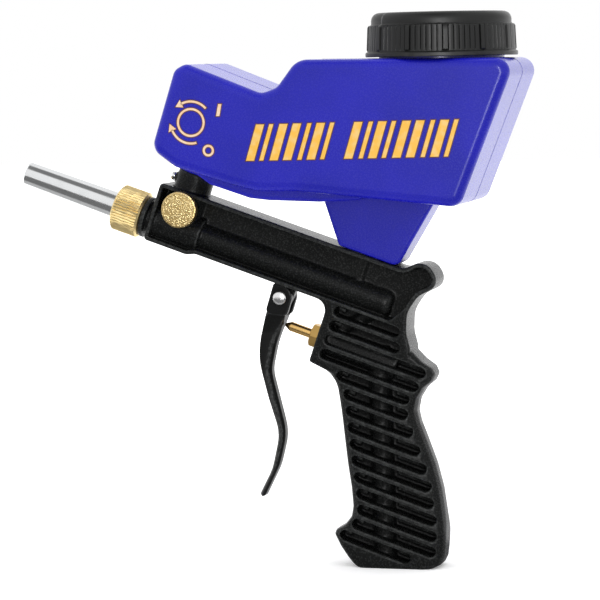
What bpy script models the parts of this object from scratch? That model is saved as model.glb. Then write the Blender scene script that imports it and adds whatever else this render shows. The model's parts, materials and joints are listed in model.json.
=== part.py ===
"""Hand-held gravity-feed sand-blasting gun: a die-cast pistol body with its barrel sloping up to a brass
nozzle nut and a steel nozzle, a media hopper with a screw cap on top, and a trigger that opens the air
valve. Lengths below are millimetres. The gun stands upright on the flat end of its grip, nozzle to -X.
A place on the barrel is given as (s, t): s rearwards along the barrel's axis from the front face of the
body, t square to the axis, upwards."""

import math

import bmesh
import bpy
from mathutils import Matrix, Vector

MM = 0.001
GAP = 0.3

# The body casting
TILT = math.radians(19.4)
FACE_X, FACE_Z = -69.3, 201.1
HALF_BODY = 12.5
HALF_WEB = 2.4
RIM = 2.4
TOP_EDGE = 23.6
BOTTOM_EDGE = -9.3
CHAMBER_END = 31.0
CHAMBER_R = 11.2
BARREL_END = 151.0
BARREL_R = 8.4
BLOCK_FACE = 116.5
GRIP_TUBE_X = 67.6
GRIP_TUBE_R = 7.0
SLOT_FIRST, SLOT_PITCH, SLOT_R, SLOT_COUNT = -12.0, 8.7, 3.1, 15
SLOT_EDGE = 4.0
# (height, front, rear, corner radius) of the grip's cross-section
GRIP = (
    (0, 51.5, 96.2, 6), (2, 48.6, 100.4, 7), (6, 45.4, 102.4, 7), (12, 41.4, 103.2, 7),
    (19, 37.9, 103.7, 7), (21.5, 39.0, 103.8, 7), (24.5, 44.2, 103.8, 8), (29, 47.6, 103.4, 9),
    (35, 48.5, 102.7, 9.5), (46, 47.7, 101.2, 9.5), (60, 45.7, 97.7, 9.5), (76, 44.0, 91.9, 9.5),
    (84, 43.2, 88.8, 9.5), (91, 42.4, 87.3, 9.5), (98, 41.6, 88.7, 9), (104, 40.9, 92.4, 8),
    (108, 39.8, 97.1, 7), (112, 37.0, 99.0, 6), (116, 32.6, 97.1, 5), (120, 28.8, 91.2, 4),
    (126, 31.3, 85.4, 4),
)

WAIST_X = 83.8

# Nozzle end
BOSS_R, BOSS_LENGTH = 9.4, 13.0
BORE_R = 6.4
NUT_FRONT, NUT_REAR, NUT_R = -23.7, -6.5, 13.7
NOZZLE_TIP, TIP_R, ROOT_R, NOZZLE_BORE_R = -83.0, 6.9, 8.2, 4.0
JET_R, JET_FRONT, JET_REAR = 4.4, 9.0, 60.0

# Media path: spout socket, shut-off valve
MEDIA_S = 16.5
DISC_T, DISC_R, DISC_PROUD = 12.6, 10.5, 4.2
PLUG_R = 7.4
SOCKET_R, SOCKET_TOP, SOCKET_BORE_R = 11.0, 34.4, 9.0
SPOUT_R, SPOUT_BORE_R = 8.0, 6.0

# Trigger and air valve
PIVOT_S, PIVOT_T = 87.8, -17.1
PIN_R = 2.4
HALF_LUG = 3.4
HALF_LEVER, HALF_EAR, EAR_R = 6.3, 7.4, 6.6
STEM_T = -31.8
STEM_R = 2.85
STEM_TIP = 94.0
GLAND_FRONT = 110.9
HEX_R = 7.4
CHAMBER_BORE_R, VALVE_END = 6.0, 160.0
SEAT = 133.0
POPPET_END = 139.0

# Hopper and cap
HALF_HOPPER = 43.0
WALL = 2.2
HALF_KEEL = 26.0
HALF_FOOT = 12.5
HOPPER = (
    (-36.2, 292.0, 6), (-43.0, 288.5, 3), (-57.6, 243.6, 8), (-43.8, 233.4, 6), (-9.4, 222.6, 8),
    (4.8, 219.2, 12), (29.0, 218.9, 12), (121.0, 209.4, 8), (154.0, 291.9, 8), (29.0, 293.0, 12),
    (17.0, 277.5, 9), (7.8, 274.4, 8),
)
KEEL = (
    (-41.6, 232.4, 1), (-27.4, 222.4, 2), (-4.2, 214.6, 6), (7.0, 213.3, 8), (36.6, 212.2, 1),
    (62.0, 213.2, 1), (62.0, 225.0, 1), (-20.0, 234.0, 1),
)
FOOT_T = TOP_EDGE + GAP
FOOT_FRONT, FOOT_REAR, FOOT_ROOT = 33.0, 107.7, 222.0
NECK_X, NECK_R, NECK_BORE_R, NECK_TOP = 103.9, 36.8, 33.5, 309.0
CAP_FLANGE_R, CAP_SKIRT_R, CAP_TOP_R = 43.3, 41.2, 39.6
CAP_FOOT, CAP_FLANGE_TOP, CAP_RIB_TOP, CAP_TOP = 293.4, 297.4, 311.4, 318.3


def place(s, t, y=0.0):
    """A point of the barrel's frame, in metres."""
    x = FACE_X + s * math.cos(TILT) + t * math.sin(TILT)
    z = FACE_Z - s * math.sin(TILT) + t * math.cos(TILT)
    return Vector((x, y, z)) * MM


def flat(s, t, radius):
    """The same, as an outline's corner."""
    at = place(s, t) / MM
    return at.x, at.z, radius


ALONG = (place(1, 0) - place(0, 0)).normalized()
ACROSS = (place(0, 1) - place(0, 0)).normalized()
SIDE = Vector((0, 1, 0))

for old in list(bpy.data.objects):
    bpy.data.objects.remove(old)

model = bpy.data.collections.new("sand_blasting_gun")
cutters = bpy.data.collections.new("cutters")
for made in (model, cutters):
    bpy.context.scene.collection.children.link(made)
cutters.hide_render = True


def material(name, colour, roughness, metallic):
    mat = bpy.data.materials.new(name)
    mat.use_nodes = True
    shader = mat.node_tree.nodes["Principled BSDF"]
    shader.inputs["Base Color"].default_value = (*colour, 1.0)
    shader.inputs["Roughness"].default_value = roughness
    shader.inputs["Metallic"].default_value = metallic
    return mat


CAST = material("black_casting", (0.012, 0.013, 0.014), 0.42, 0.0)
BLUE = material("blue_hopper", (0.025, 0.02, 0.40), 0.35, 0.0)
CAP_BLACK = material("black_cap", (0.015, 0.015, 0.016), 0.5, 0.0)
BRASS = material("brass", (0.78, 0.52, 0.20), 0.3, 1.0)
STEEL = material("zinc_plated_steel", (0.72, 0.73, 0.75), 0.22, 1.0)
SPRING = material("spring_steel", (0.5, 0.5, 0.52), 0.3, 1.0)
RUBBER = material("rubber", (0.02, 0.02, 0.02), 0.7, 0.0)


def link(mesh, name, mat=None):
    """A new object: a part when it has a material, a hidden cutter when it hasn't."""
    obj = bpy.data.objects.new(name, mesh)
    (model if mat else cutters).objects.link(obj)
    if mat:
        obj.data.materials.append(mat)
    else:
        obj.hide_render = True
        obj.display_type = "WIRE"
    return obj


def combine(target, tool, operation):
    mod = target.modifiers.new(f"{operation.lower()}_{tool.name}", "BOOLEAN")
    mod.operation = operation
    mod.solver = "EXACT"
    mod.object = tool


def join(target, *tools):
    for tool in tools:
        combine(target, tool, "UNION")


def cut(target, *tools):
    for tool in tools:
        combine(target, tool, "DIFFERENCE")


def smooth(obj):
    obj.data.shade_smooth()
    obj.data.set_sharp_from_angle(angle=math.radians(35))


def turned(name, profile, start, axis, mat=None, steps=28):
    """A solid of revolution. profile is (distance along the axis, radius) pairs: from one end on the axis to
    the other, or round a closed ring."""
    mesh = bpy.data.meshes.new(name)
    ring = profile[0][1] > 0
    area = sum(r1 * a2 - r2 * a1 for (a1, r1), (a2, r2) in zip(profile, [*profile[1:], profile[0]]))
    runs_down = profile if area < 0 else profile[::-1]
    points = [(radius * MM, 0.0, along * MM) for along, radius in runs_down]
    edges = [(i, i + 1) for i in range(len(points) - 1)]
    if ring:
        edges.append((len(points) - 1, 0))
    mesh.from_pydata(points, edges, [])
    obj = link(mesh, name, mat)
    obj.matrix_world = Matrix.Translation(start) @ axis.to_track_quat("Z", "Y").to_matrix().to_4x4()
    screw = obj.modifiers.new("turn", "SCREW")
    screw.steps = screw.render_steps = steps
    screw.use_merge_vertices = True
    screw.merge_threshold = 0.000005
    return obj


def cylinder(name, start, axis, length, radius, mat=None, sides=28):
    mesh = bpy.data.meshes.new(name)
    bm = bmesh.new()
    bmesh.ops.create_cone(
        bm, cap_ends=True, segments=sides, radius1=radius * MM, radius2=radius * MM, depth=length * MM
    )
    bmesh.ops.translate(bm, verts=bm.verts, vec=(0, 0, length * MM / 2))
    bm.to_mesh(mesh)
    bm.free()
    obj = link(mesh, name, mat)
    obj.matrix_world = Matrix.Translation(start) @ axis.to_track_quat("Z", "Y").to_matrix().to_4x4()
    return obj


def tube(name, start, axis, length, radius, bore, mat, sides=32):
    """A ring or tube of one outer and one inner radius."""
    profile = ((length, bore), (length, radius), (0, radius), (0, bore))
    return turned(name, profile, start, axis, mat, sides)


def seal_ring(name, start, axis, radius, wire):
    """A rubber ring of round section, radius to the middle of its wire."""
    profile = [
        (wire * math.sin(turn * math.tau / 6), radius + wire * math.cos(turn * math.tau / 6))
        for turn in range(6)
    ]
    return turned(name, profile, start, axis, RUBBER, 20)


def rounded(corners, inset=0.0):
    """The outline through (x, z, radius) corners, given anticlockwise, its corners turned into arcs."""
    count = len(corners)
    spots = [Vector(corner[:2]) for corner in corners]
    moved = []
    for i, spot in enumerate(spots):
        before = (spot - spots[i - 1]).normalized()
        after = (spots[(i + 1) % count] - spot).normalized()
        inward = (Vector((-before.y, before.x)) + Vector((-after.y, after.x))) / (1 + before.dot(after))
        turn = before.cross(after)
        radius = corners[i][2] - inset * (1 if turn > 0 else -1)
        moved.append((spot + inward * inset, before, after, turn, max(radius, 0.0)))
    outline = []
    for spot, before, after, turn, radius in moved:
        angle = abs(math.atan2(turn, before.dot(after)))
        steps = max(1, round(angle / math.radians(20)))
        if radius < 0.05 or angle < math.radians(2):
            outline.append(spot)
            continue
        reach = radius * math.tan(angle / 2)
        side = 1 if turn > 0 else -1
        centre = spot - before * reach + Vector((-before.y, before.x)) * radius * side
        arm = spot - before * reach - centre
        for step in range(steps + 1):
            bend = Matrix.Rotation(side * angle * step / steps, 2)
            outline.append(centre + bend @ arm)
    return outline


def plate(name, outline, half, mat=None, edge=0.0, centre_y=0.0):
    """A flat outline in the XZ plane, made half thick to each side, its edges rounded by edge."""
    curve = bpy.data.curves.new(name, "CURVE")
    curve.dimensions = "2D"
    curve.fill_mode = "BOTH"
    curve.extrude = half * MM
    spline = curve.splines.new("POLY")
    spline.points.add(len(outline) - 1)
    for point, (x, z) in zip(spline.points, outline):
        point.co = (x * MM, z * MM, 0.0, 1.0)
    spline.use_cyclic_u = True
    drawn = bpy.data.objects.new(name + "_curve", curve)
    bpy.context.scene.collection.objects.link(drawn)
    drawn.matrix_world = Matrix.Translation((0, centre_y * MM, 0)) @ Matrix.Rotation(math.pi / 2, 4, "X")
    bpy.context.view_layer.update()
    graph = bpy.context.evaluated_depsgraph_get()
    mesh = bpy.data.meshes.new_from_object(drawn.evaluated_get(graph))
    bm = bmesh.new()
    bm.from_mesh(mesh)
    bmesh.ops.remove_doubles(bm, verts=bm.verts, dist=1e-6)
    flat_faces = [face for face in bm.faces if abs(face.normal.z) > 0.9]
    inner = [edge_ for edge_ in bm.edges if all(face in flat_faces for face in edge_.link_faces)]
    bmesh.ops.dissolve_edges(bm, edges=inner, use_verts=False)
    bmesh.ops.recalc_face_normals(bm, faces=bm.faces)
    if edge:
        rims = [e for e in bm.edges if abs(e.verts[0].co.z - e.verts[1].co.z) < 1e-7]
        bmesh.ops.bevel(
            bm, geom=rims, offset=edge * MM, segments=3 if edge > 2 else 2, profile=0.5,
            affect="EDGES", clamp_overlap=True,
        )
    bm.to_mesh(mesh)
    bm.free()
    mesh.name = name
    obj = link(mesh, name, mat)
    obj.matrix_world = drawn.matrix_world
    bpy.data.objects.remove(drawn)
    return obj


def grip_span(height):
    """Front and rear of the grip at a height."""
    for low, high in zip(GRIP, GRIP[1:]):
        if low[0] <= height <= high[0]:
            share = (height - low[0]) / (high[0] - low[0])
            return [low[i] + share * (high[i] - low[i]) for i in (1, 2)]
    return None


def grip_blank():
    """The grip as a loft of rounded rectangles, one at each height of GRIP."""
    bm = bmesh.new()
    rings = []
    for height, front, rear, radius in GRIP:
        half = HALF_BODY + (0.5 if height < 110 else -0.4)
        ring = []
        for corner in range(4):
            middle_x = (rear - radius) if corner in (0, 3) else (front + radius)
            middle_y = (half - radius) if corner in (0, 1) else (radius - half)
            for step in range(4):
                angle = math.radians(90 * corner + 30 * step)
                x = middle_x + radius * math.cos(angle)
                y = middle_y + radius * math.sin(angle)
                ring.append(bm.verts.new((x * MM, y * MM, height * MM)))
        rings.append(ring)
    for low, high in zip(rings, rings[1:]):
        for i in range(len(low)):
            j = (i + 1) % len(low)
            bm.faces.new((low[i], low[j], high[j], high[i]))
    bm.faces.new(rings[0][::-1])
    bm.faces.new(rings[-1])
    mesh = bpy.data.meshes.new("grip_blank")
    bm.to_mesh(mesh)
    bm.free()
    return link(mesh, "grip_blank")


def rear_limit(height):
    """The rear edge of the casting at a height, above the grip as well."""
    span = grip_span(height)
    return span[1] if span else WAIST_X


def slot_ends(t):
    """Where the slot at t may start and end along the barrel's direction, clear of the casting's edges."""
    inside = []
    for step in range(1200):
        s = BLOCK_FACE + step * 0.25
        at = place(s, t) / MM
        span = grip_span(at.z)
        front = span[0] if span and at.z < 119 else (place(BLOCK_FACE, t) / MM).x
        edge = SLOT_EDGE + SLOT_R
        if at.z > 3.2 + SLOT_R and front + edge < at.x < rear_limit(at.z) - edge:
            inside.append(s)
    return inside[0], inside[-1]


def slot_cutter(side):
    """All the slots of one side of the grip, as one cutter."""
    bm = bmesh.new()
    depth = HALF_BODY + 2 - HALF_WEB
    for number in range(SLOT_COUNT):
        t = SLOT_FIRST - number * SLOT_PITCH
        start, end = slot_ends(t)
        ring = []
        for centre, first in ((end, -90), (start, 90)):
            for step in range(5):
                angle = math.radians(first + 45 * step)
                ring.append((centre + SLOT_R * math.cos(angle), t + SLOT_R * math.sin(angle)))
        near = side * (HALF_WEB + depth)
        faces = [
            [bm.verts.new(place(s, across, y)) for s, across in ring] for y in (side * HALF_WEB, near)
        ]
        bm.faces.new(faces[0])
        bm.faces.new(faces[1])
        for i in range(len(ring)):
            j = (i + 1) % len(ring)
            bm.faces.new((faces[0][i], faces[0][j], faces[1][j], faces[1][i]))
    bmesh.ops.recalc_face_normals(bm, faces=bm.faces)
    mesh = bpy.data.meshes.new("slots")
    bm.to_mesh(mesh)
    bm.free()
    return link(mesh, "slots_near" if side < 0 else "slots_far")


HORN = (
    (WAIST_X - 0.6, 136.0, 10), (WAIST_X, 148.0, 12), (90.4, 157.4, 10), (103.4, 163.4, 6.5),
    (95.4, 180.2, 9),
    flat(153, TOP_EDGE, 8),
)
FRAME = (
    flat(0, -11.4, 2), flat(27.5, -11.4, 1.5), flat(32.5, BOTTOM_EDGE, 1.5),
    flat(BLOCK_FACE, BOTTOM_EDGE, 7), flat(BLOCK_FACE, -45.4, 1), (40.9, 112.0, 6), (48, 104, 0),
    (80, 104, 0), (85.6, 126.5, 3), *HORN, flat(140, TOP_EDGE, 5), flat(0, TOP_EDGE, 2),
)
POCKET = (
    flat(0, -11.4, 2), flat(27.5, -11.4, 1.5), flat(32.5, BOTTOM_EDGE, 1.5), flat(155.5, BOTTOM_EDGE, 5),
    *HORN[1:], flat(140, TOP_EDGE, 5), flat(0, TOP_EDGE, 2),
)


def gun_body():
    body = plate("gun_body", rounded(FRAME), HALF_BODY, CAST, edge=0.9)
    join(body, grip_blank())
    reach = HALF_BODY + 2 - HALF_WEB
    for side in (-1, 1):
        pocket = plate("pocket", rounded(POCKET, RIM), reach / 2, centre_y=side * (HALF_WEB + reach / 2))
        cut(body, pocket, slot_cutter(side))
    lug = plate(
        "trigger_lug",
        rounded((
            flat(PIVOT_S - 6, PIVOT_T - 5.5, 5), flat(PIVOT_S + 5.5, PIVOT_T - 5.5, 5),
            flat(PIVOT_S + 7, -8, 0), flat(PIVOT_S - 7, -8, 0),
        )),
        HALF_LUG,
    )
    grip_tube_top = place(BLOCK_FACE, STEM_T) / MM
    join(
        body,
        cylinder("mixing_chamber", place(0.5, 0), ALONG, CHAMBER_END - 0.5, CHAMBER_R),
        turned(
            "barrel_tube",
            ((BARREL_END - 1, 0), (BARREL_END, 5.5), (BARREL_END - 1.2, 7.6), (BARREL_END - 3.5, BARREL_R),
             (CHAMBER_END - 2, BARREL_R), (CHAMBER_END - 2, 0)),
            place(0, 0), ALONG,
        ),
        cylinder("nose_boss", place(-BOSS_LENGTH, 0), ALONG, BOSS_LENGTH + 2, BOSS_R),
        cylinder("socket", place(MEDIA_S, 6), ACROSS, SOCKET_TOP - 6, SOCKET_R),
        cylinder("valve_boss", place(MEDIA_S, DISC_T, -HALF_BODY + 0.4), SIDE, 2 * HALF_BODY - 0.8, 9.4),
        cylinder("clamp_pad", place(MEDIA_S - 12.2, 28.4), ALONG, 6, 3.2, sides=16),
        cylinder("pin_boss", place(128, 6), ACROSS, TOP_EDGE - 7, 4.0, sides=20),
        cylinder("grip_tube", Vector((GRIP_TUBE_X, 0, 1)) * MM, Vector((-0.0175, 0, 1)).normalized(),
                 grip_tube_top.z - 6, GRIP_TUBE_R),
        cylinder("valve_chamber", place(BLOCK_FACE + 1, STEM_T), ALONG, VALVE_END - BLOCK_FACE + 4, 8.2),
        cylinder("air_way", place(126, -24), (place(146, -3) - place(126, -24)).normalized(), 27, 4.6, sides=20),
        lug,
    )
    cut(
        body,
        cylinder("media_bore", place(-BOSS_LENGTH - 1, 0), ALONG, BOSS_LENGTH + 1 + CHAMBER_END - 4, BORE_R),
        cylinder("jet_bore", place(20, 0), ALONG, BARREL_END - 26, JET_R + GAP, sides=24),
        cylinder("spout_bore", place(MEDIA_S, 21.2), ACROSS, SOCKET_TOP, SOCKET_BORE_R),
        cylinder("feed_bore", place(MEDIA_S, 2), ACROSS, 24, SPOUT_BORE_R - 1.2, sides=24),
        cylinder("plug_bore", place(MEDIA_S, DISC_T, -HALF_BODY - 1), SIDE, 2 * HALF_BODY + 2, PLUG_R + GAP),
        cylinder("clamp_hole", place(0, 28.4), ALONG, MEDIA_S, 1.7 + GAP, sides=16),
        cylinder("dowel_hole", place(128, 12), ACROSS, TOP_EDGE, 1.8 + GAP, sides=16),
        cylinder("pin_hole", place(PIVOT_S, PIVOT_T, -9), SIDE, 18, PIN_R + GAP, sides=24),
        cylinder("valve_bore", place(BLOCK_FACE - 1, STEM_T), ALONG, VALVE_END - BLOCK_FACE + 1, CHAMBER_BORE_R),
        cylinder("air_bore", place(127, -24), (place(146, -3) - place(127, -24)).normalized(), 24, 2.4, sides=16),
        cylinder("inlet_bore", Vector((GRIP_TUBE_X, 0, -1)) * MM, Vector((0, 0, 1)), 15, 5.7),
        cylinder("supply_bore", Vector((GRIP_TUBE_X, 0, 4)) * MM, Vector((-0.0175, 0, 1)).normalized(),
                 grip_tube_top.z - 14, 3.4, sides=24),
    )
    return body


def nozzle():
    flange = -BOSS_LENGTH - 1.8
    turned(
        "nozzle_tube",
        ((-3, NOZZLE_BORE_R), (-3, BORE_R - GAP), (flange, BORE_R - GAP), (flange, 9.2),
         (flange - 2.6, 9.2), (flange - 2.6, ROOT_R), (NOZZLE_TIP + 0.8, TIP_R), (NOZZLE_TIP, TIP_R - 0.8),
         (NOZZLE_TIP, NOZZLE_BORE_R)),
        place(0, 0), ALONG, STEEL, 32,
    )
    tube("nozzle_seal", place(-BOSS_LENGTH - 1.5, 0), ALONG, 1.2, 9.2, BORE_R + GAP, RUBBER)
    step = flange - 2.9
    turned(
        "nozzle_nut",
        ((NUT_REAR, BOSS_R + GAP), (NUT_REAR, NUT_R - 0.6), (NUT_REAR - 0.6, NUT_R),
         (NUT_FRONT + 0.8, NUT_R), (NUT_FRONT, NUT_R - 0.8), (NUT_FRONT, ROOT_R + GAP),
         (step, ROOT_R + GAP), (step, BOSS_R + GAP)),
        place(0, 0), ALONG, BRASS, 40,
    )
    turned(
        "air_jet",
        ((JET_REAR, 1.6), (JET_REAR, JET_R), (34, JET_R), (34, JET_R - 1.4), (32, JET_R - 1.4),
         (32, JET_R), (24, JET_R), (JET_FRONT, 2.6), (JET_FRONT, 1.6)),
        place(0, 0), ALONG, BRASS, 28,
    )
    seal_ring("air_jet_seal", place(33, 0), ALONG, JET_R - 0.55, 0.6)


def media_valve():
    face = -HALF_BODY - 0.1 - DISC_PROUD
    far = 2 * HALF_BODY + DISC_PROUD + 3.0
    plug = turned(
        "media_valve",
        ((far, 0), (far, PLUG_R - 1.6), (far - 0.8, PLUG_R - 1.0), (far - 1.0, PLUG_R - 1.9),
         (far - 2.2, PLUG_R - 1.9), (far - 2.4, PLUG_R), (DISC_PROUD + 22.5, PLUG_R),
         (DISC_PROUD + 22.5, PLUG_R - 1.3), (DISC_PROUD + 20.5, PLUG_R - 1.3),
         (DISC_PROUD + 20.5, PLUG_R), (DISC_PROUD + 4.0, PLUG_R),
         (DISC_PROUD + 4.0, PLUG_R - 1.3), (DISC_PROUD + 2.0, PLUG_R - 1.3),
         (DISC_PROUD + 2.0, PLUG_R), (DISC_PROUD, PLUG_R), (DISC_PROUD, DISC_R),
         (0.6, DISC_R), (0, DISC_R - 0.6), (0, 0)),
        place(MEDIA_S, DISC_T, face), SIDE, BRASS, 28,
    )
    cut(plug, cylinder("media_port", place(MEDIA_S, DISC_T - 12), ACROSS, 24, SPOUT_BORE_R - 1.2, sides=24))
    for name, along in (("media_valve_seal_near", 3.0), ("media_valve_seal_far", 21.5)):
        seal_ring(name, place(MEDIA_S, DISC_T, face + DISC_PROUD + along), SIDE, PLUG_R - 0.55, 0.6)
    tube("media_valve_clip", place(MEDIA_S, DISC_T, face + far - 2.1), SIDE, 1.0, PLUG_R + 1.2,
         PLUG_R - 1.9 + GAP, SPRING)


def screw(name, start, axis, length, shank, head, head_height, mat=STEEL):
    """A pan-head screw: start is the underside of its head, axis the way its shank points."""
    turned(
        name,
        ((length, 0), (length, shank), (0, shank), (0, head), (-head_height * 0.6, head),
         (-head_height, head * 0.62), (-head_height, 0)),
        start, axis, mat, 20,
    )


def trigger():
    lever = (
        flat(PIVOT_S - 6.5, -10.0, 1.5), (0.2, 150.9, 12), (-5.6, 133.0, 40), (-7.0, 119.0, 40),
        (-1.5, 97.0, 40), (4.9, 76.4, 25), (0.2, 55.5, 30), (-7.6, 40.4, 1.0), (-5.4, 37.8, 1.6),
        (4.5, 57.4, 30), (9.4, 76.5, 30), (5.3, 93.6, 30), (0.6, 113.0, 20), (4.2, 129.2, 40),
        (8.8, 141.0, 20), (12.6, 151.5, 6), flat(PIVOT_S + EAR_R, -10.0, EAR_R),
    )
    ear = (
        flat(PIVOT_S - 6.5, -10.0, 1.5), (-1.6, 146.6, 3), (11.4, 145.0, 3), flat(PIVOT_S + EAR_R, -10.0, EAR_R),
    )
    piece = plate("trigger", rounded(lever), HALF_LEVER, CAST, edge=0.8)
    join(piece, plate("trigger_ears", rounded(ear), HALF_EAR, edge=0.6))
    channel = plate(
        "trigger_fork",
        rounded((
            flat(PIVOT_S - 11, PIVOT_T - 9.0, 1), flat(PIVOT_S + 14, PIVOT_T - 9.0, 1),
            flat(PIVOT_S + 14, 5, 0), flat(PIVOT_S - 11, 5, 0),
        )),
        HALF_LUG + GAP,
    )
    cut(piece, channel, cylinder("trigger_hole", place(PIVOT_S, PIVOT_T, -9), SIDE, 18, PIN_R + GAP, sides=24))
    grip_length = 2 * (HALF_EAR + GAP)
    turned(
        "trigger_pin",
        ((grip_length + 1.1, 0), (grip_length + 1.1, 3.2), (grip_length, 3.4), (grip_length, PIN_R),
         (0, PIN_R), (0, 4.1), (-0.9, 3.7), (-1.7, 2.2), (-2.0, 0)),
        place(PIVOT_S, PIVOT_T, -HALF_EAR - GAP), SIDE, STEEL, 24,
    )


def air_valve():
    stem = turned(
        "valve_stem",
        ((POPPET_END, 0), (POPPET_END, 4.6), (SEAT + 2.2, 4.6), (SEAT + 2.2, 1.9), (BLOCK_FACE + 5, 1.9),
         (BLOCK_FACE + 5, STEM_R), (STEM_TIP + 3.6, STEM_R), (STEM_TIP + 0.6, 1.2), (STEM_TIP, 0.8),
         (STEM_TIP, 0)),
        place(0, STEM_T), ALONG, BRASS, 24,
    )
    tube("valve_washer", place(SEAT + GAP, STEM_T), ALONG, 1.6, 4.4, 1.9 + GAP, RUBBER, 24)
    gland = turned(
        "gland_nut",
        ((SEAT, 2.9), (SEAT, CHAMBER_BORE_R - GAP), (128, CHAMBER_BORE_R - GAP), (128, 4.4), (124, 4.4),
         (124, CHAMBER_BORE_R - GAP), (BLOCK_FACE - GAP, CHAMBER_BORE_R - GAP), (BLOCK_FACE - GAP, 5.5),
         (GLAND_FRONT + 2, 5.5), (GLAND_FRONT + 2, STEM_R + GAP), (120, STEM_R + GAP), (120, 2.9)),
        place(0, STEM_T), ALONG, BRASS, 28,
    )
    hexagon = cylinder("gland_hex", place(GLAND_FRONT, STEM_T), ALONG, BLOCK_FACE - GLAND_FRONT - GAP, HEX_R,
                       sides=6)
    cut(hexagon, cylinder("hex_bore", place(GLAND_FRONT - 1, STEM_T), ALONG, 9, STEM_R + GAP, sides=28))
    join(gland, hexagon)
    spring_start, spring_end, coils, wire = POPPET_END + 0.5, VALVE_END - 0.4, 5, 0.55
    curve = bpy.data.curves.new("valve_spring", "CURVE")
    curve.dimensions = "3D"
    curve.bevel_depth = wire * MM
    curve.bevel_resolution = 1
    curve.use_fill_caps = True
    spline = curve.splines.new("POLY")
    total = coils * 12
    spline.points.add(total)
    for i, point in enumerate(spline.points):
        turn = math.tau * i / 12
        run = spring_end - spring_start - 2 * wire
        s = spring_start + wire + run * i / total
        across = STEM_T + 3.9 * math.cos(turn)
        point.co = (*place(s, across, 3.9 * math.sin(turn)), 1.0)
    coil = bpy.data.objects.new("valve_spring", curve)
    coil.data.materials.append(SPRING)
    model.objects.link(coil)
    return stem


def hopper():
    shell = plate("hopper", rounded(HOPPER), HALF_HOPPER, BLUE, edge=5.0)
    foot = (
        (FOOT_FRONT, FOOT_ROOT, 0), flat(112.2, FOOT_T, 3), flat(148.6, FOOT_T, 5),
        (FOOT_REAR, FOOT_ROOT, 0),
    )
    keel = plate("keel", rounded(KEEL), HALF_KEEL, edge=2.4)
    stand = plate("foot", rounded(foot), HALF_FOOT, edge=2.4)
    join(
        shell, keel, stand,
        cylinder("spout_flange", place(MEDIA_S, SOCKET_TOP + GAP), ACROSS, 12, 11.6, sides=28),
        cylinder("spout", place(MEDIA_S, 22), ACROSS, 24, SPOUT_R, sides=28),
        cylinder("neck", Vector((NECK_X, 0, 288)) * MM, Vector((0, 0, 1)), NECK_TOP - 288, NECK_R, sides=40),
    )
    cavity = plate("cavity", rounded(HOPPER, WALL), HALF_HOPPER - WALL, edge=4.0)
    cut(
        shell, cavity,
        plate("foot_cavity", rounded(foot, WALL + 0.6), HALF_FOOT - WALL, edge=1.2),
        plate("keel_cavity", rounded(KEEL, WALL), HALF_KEEL - WALL, edge=1.2),
        cylinder("spout_way", place(MEDIA_S, 20), ACROSS, 34, SPOUT_BORE_R, sides=24),
        cylinder("neck_way", Vector((NECK_X, 0, 280)) * MM, Vector((0, 0, 1)), 34, NECK_BORE_R, sides=40),
        cylinder("dowel_way", place(128, 18), ACROSS, 9, 1.8 + GAP, sides=16),
    )
    tube("spout_seal", place(MEDIA_S, 22), ACROSS, 12.6, SOCKET_BORE_R - GAP, SPOUT_R + GAP, RUBBER, 28)


def cap():
    inner = NECK_R + 0.8
    turned(
        "hopper_cap",
        ((CAP_TOP, 0), (CAP_TOP - 0.6, CAP_TOP_R - 5), (CAP_TOP - 2.2, CAP_TOP_R - 1.4),
         (CAP_TOP - 4.4, CAP_TOP_R), (CAP_RIB_TOP, CAP_TOP_R), (CAP_RIB_TOP - 1.2, CAP_SKIRT_R),
         (CAP_FLANGE_TOP, CAP_SKIRT_R), (CAP_FLANGE_TOP, CAP_FLANGE_R), (CAP_FOOT, CAP_FLANGE_R),
         (CAP_FOOT, inner), (NECK_TOP + 4.0, inner), (NECK_TOP + 4.0, 0)),
        Vector((NECK_X * MM, 0, 0)), Vector((0, 0, 1)), CAP_BLACK, 48,
    )
    cylinder("cap_seal", Vector((NECK_X, 0, NECK_TOP + GAP)) * MM, Vector((0, 0, 1)), 3.3, inner - GAP,
             RUBBER, 48)


gun_body()
nozzle()
media_valve()
screw("spout_clamp_screw", place(MEDIA_S - 12.5, 28.4), ALONG, 3.4, 1.7, 2.6, 2.2)
cylinder("foot_dowel", place(128, 12.3), ACROSS, 13.5, 1.8, STEEL, 16)
trigger()
air_valve()
hopper()
cap()
for part in model.objects:
    if part.type == "MESH":
        smooth(part)
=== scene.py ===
# %% [markdown]
# # A sand-blasting gun, dressed for its portrait
# The gun is a hand tool: a black cast pistol body, a blue hopper that holds a litre of blasting media, a
# brass nut and a steel nozzle. The engineering model already fixes every size, place and joint. This
# script loads that model as a frame and builds the looks round it: finer meshes for the pieces that are
# seen, and a procedural finish for every one of them.

# %% Load the frame
import json
import math

import bmesh
import bpy
from mathutils import Matrix, Vector
from mathutils.bvhtree import BVHTree


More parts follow.
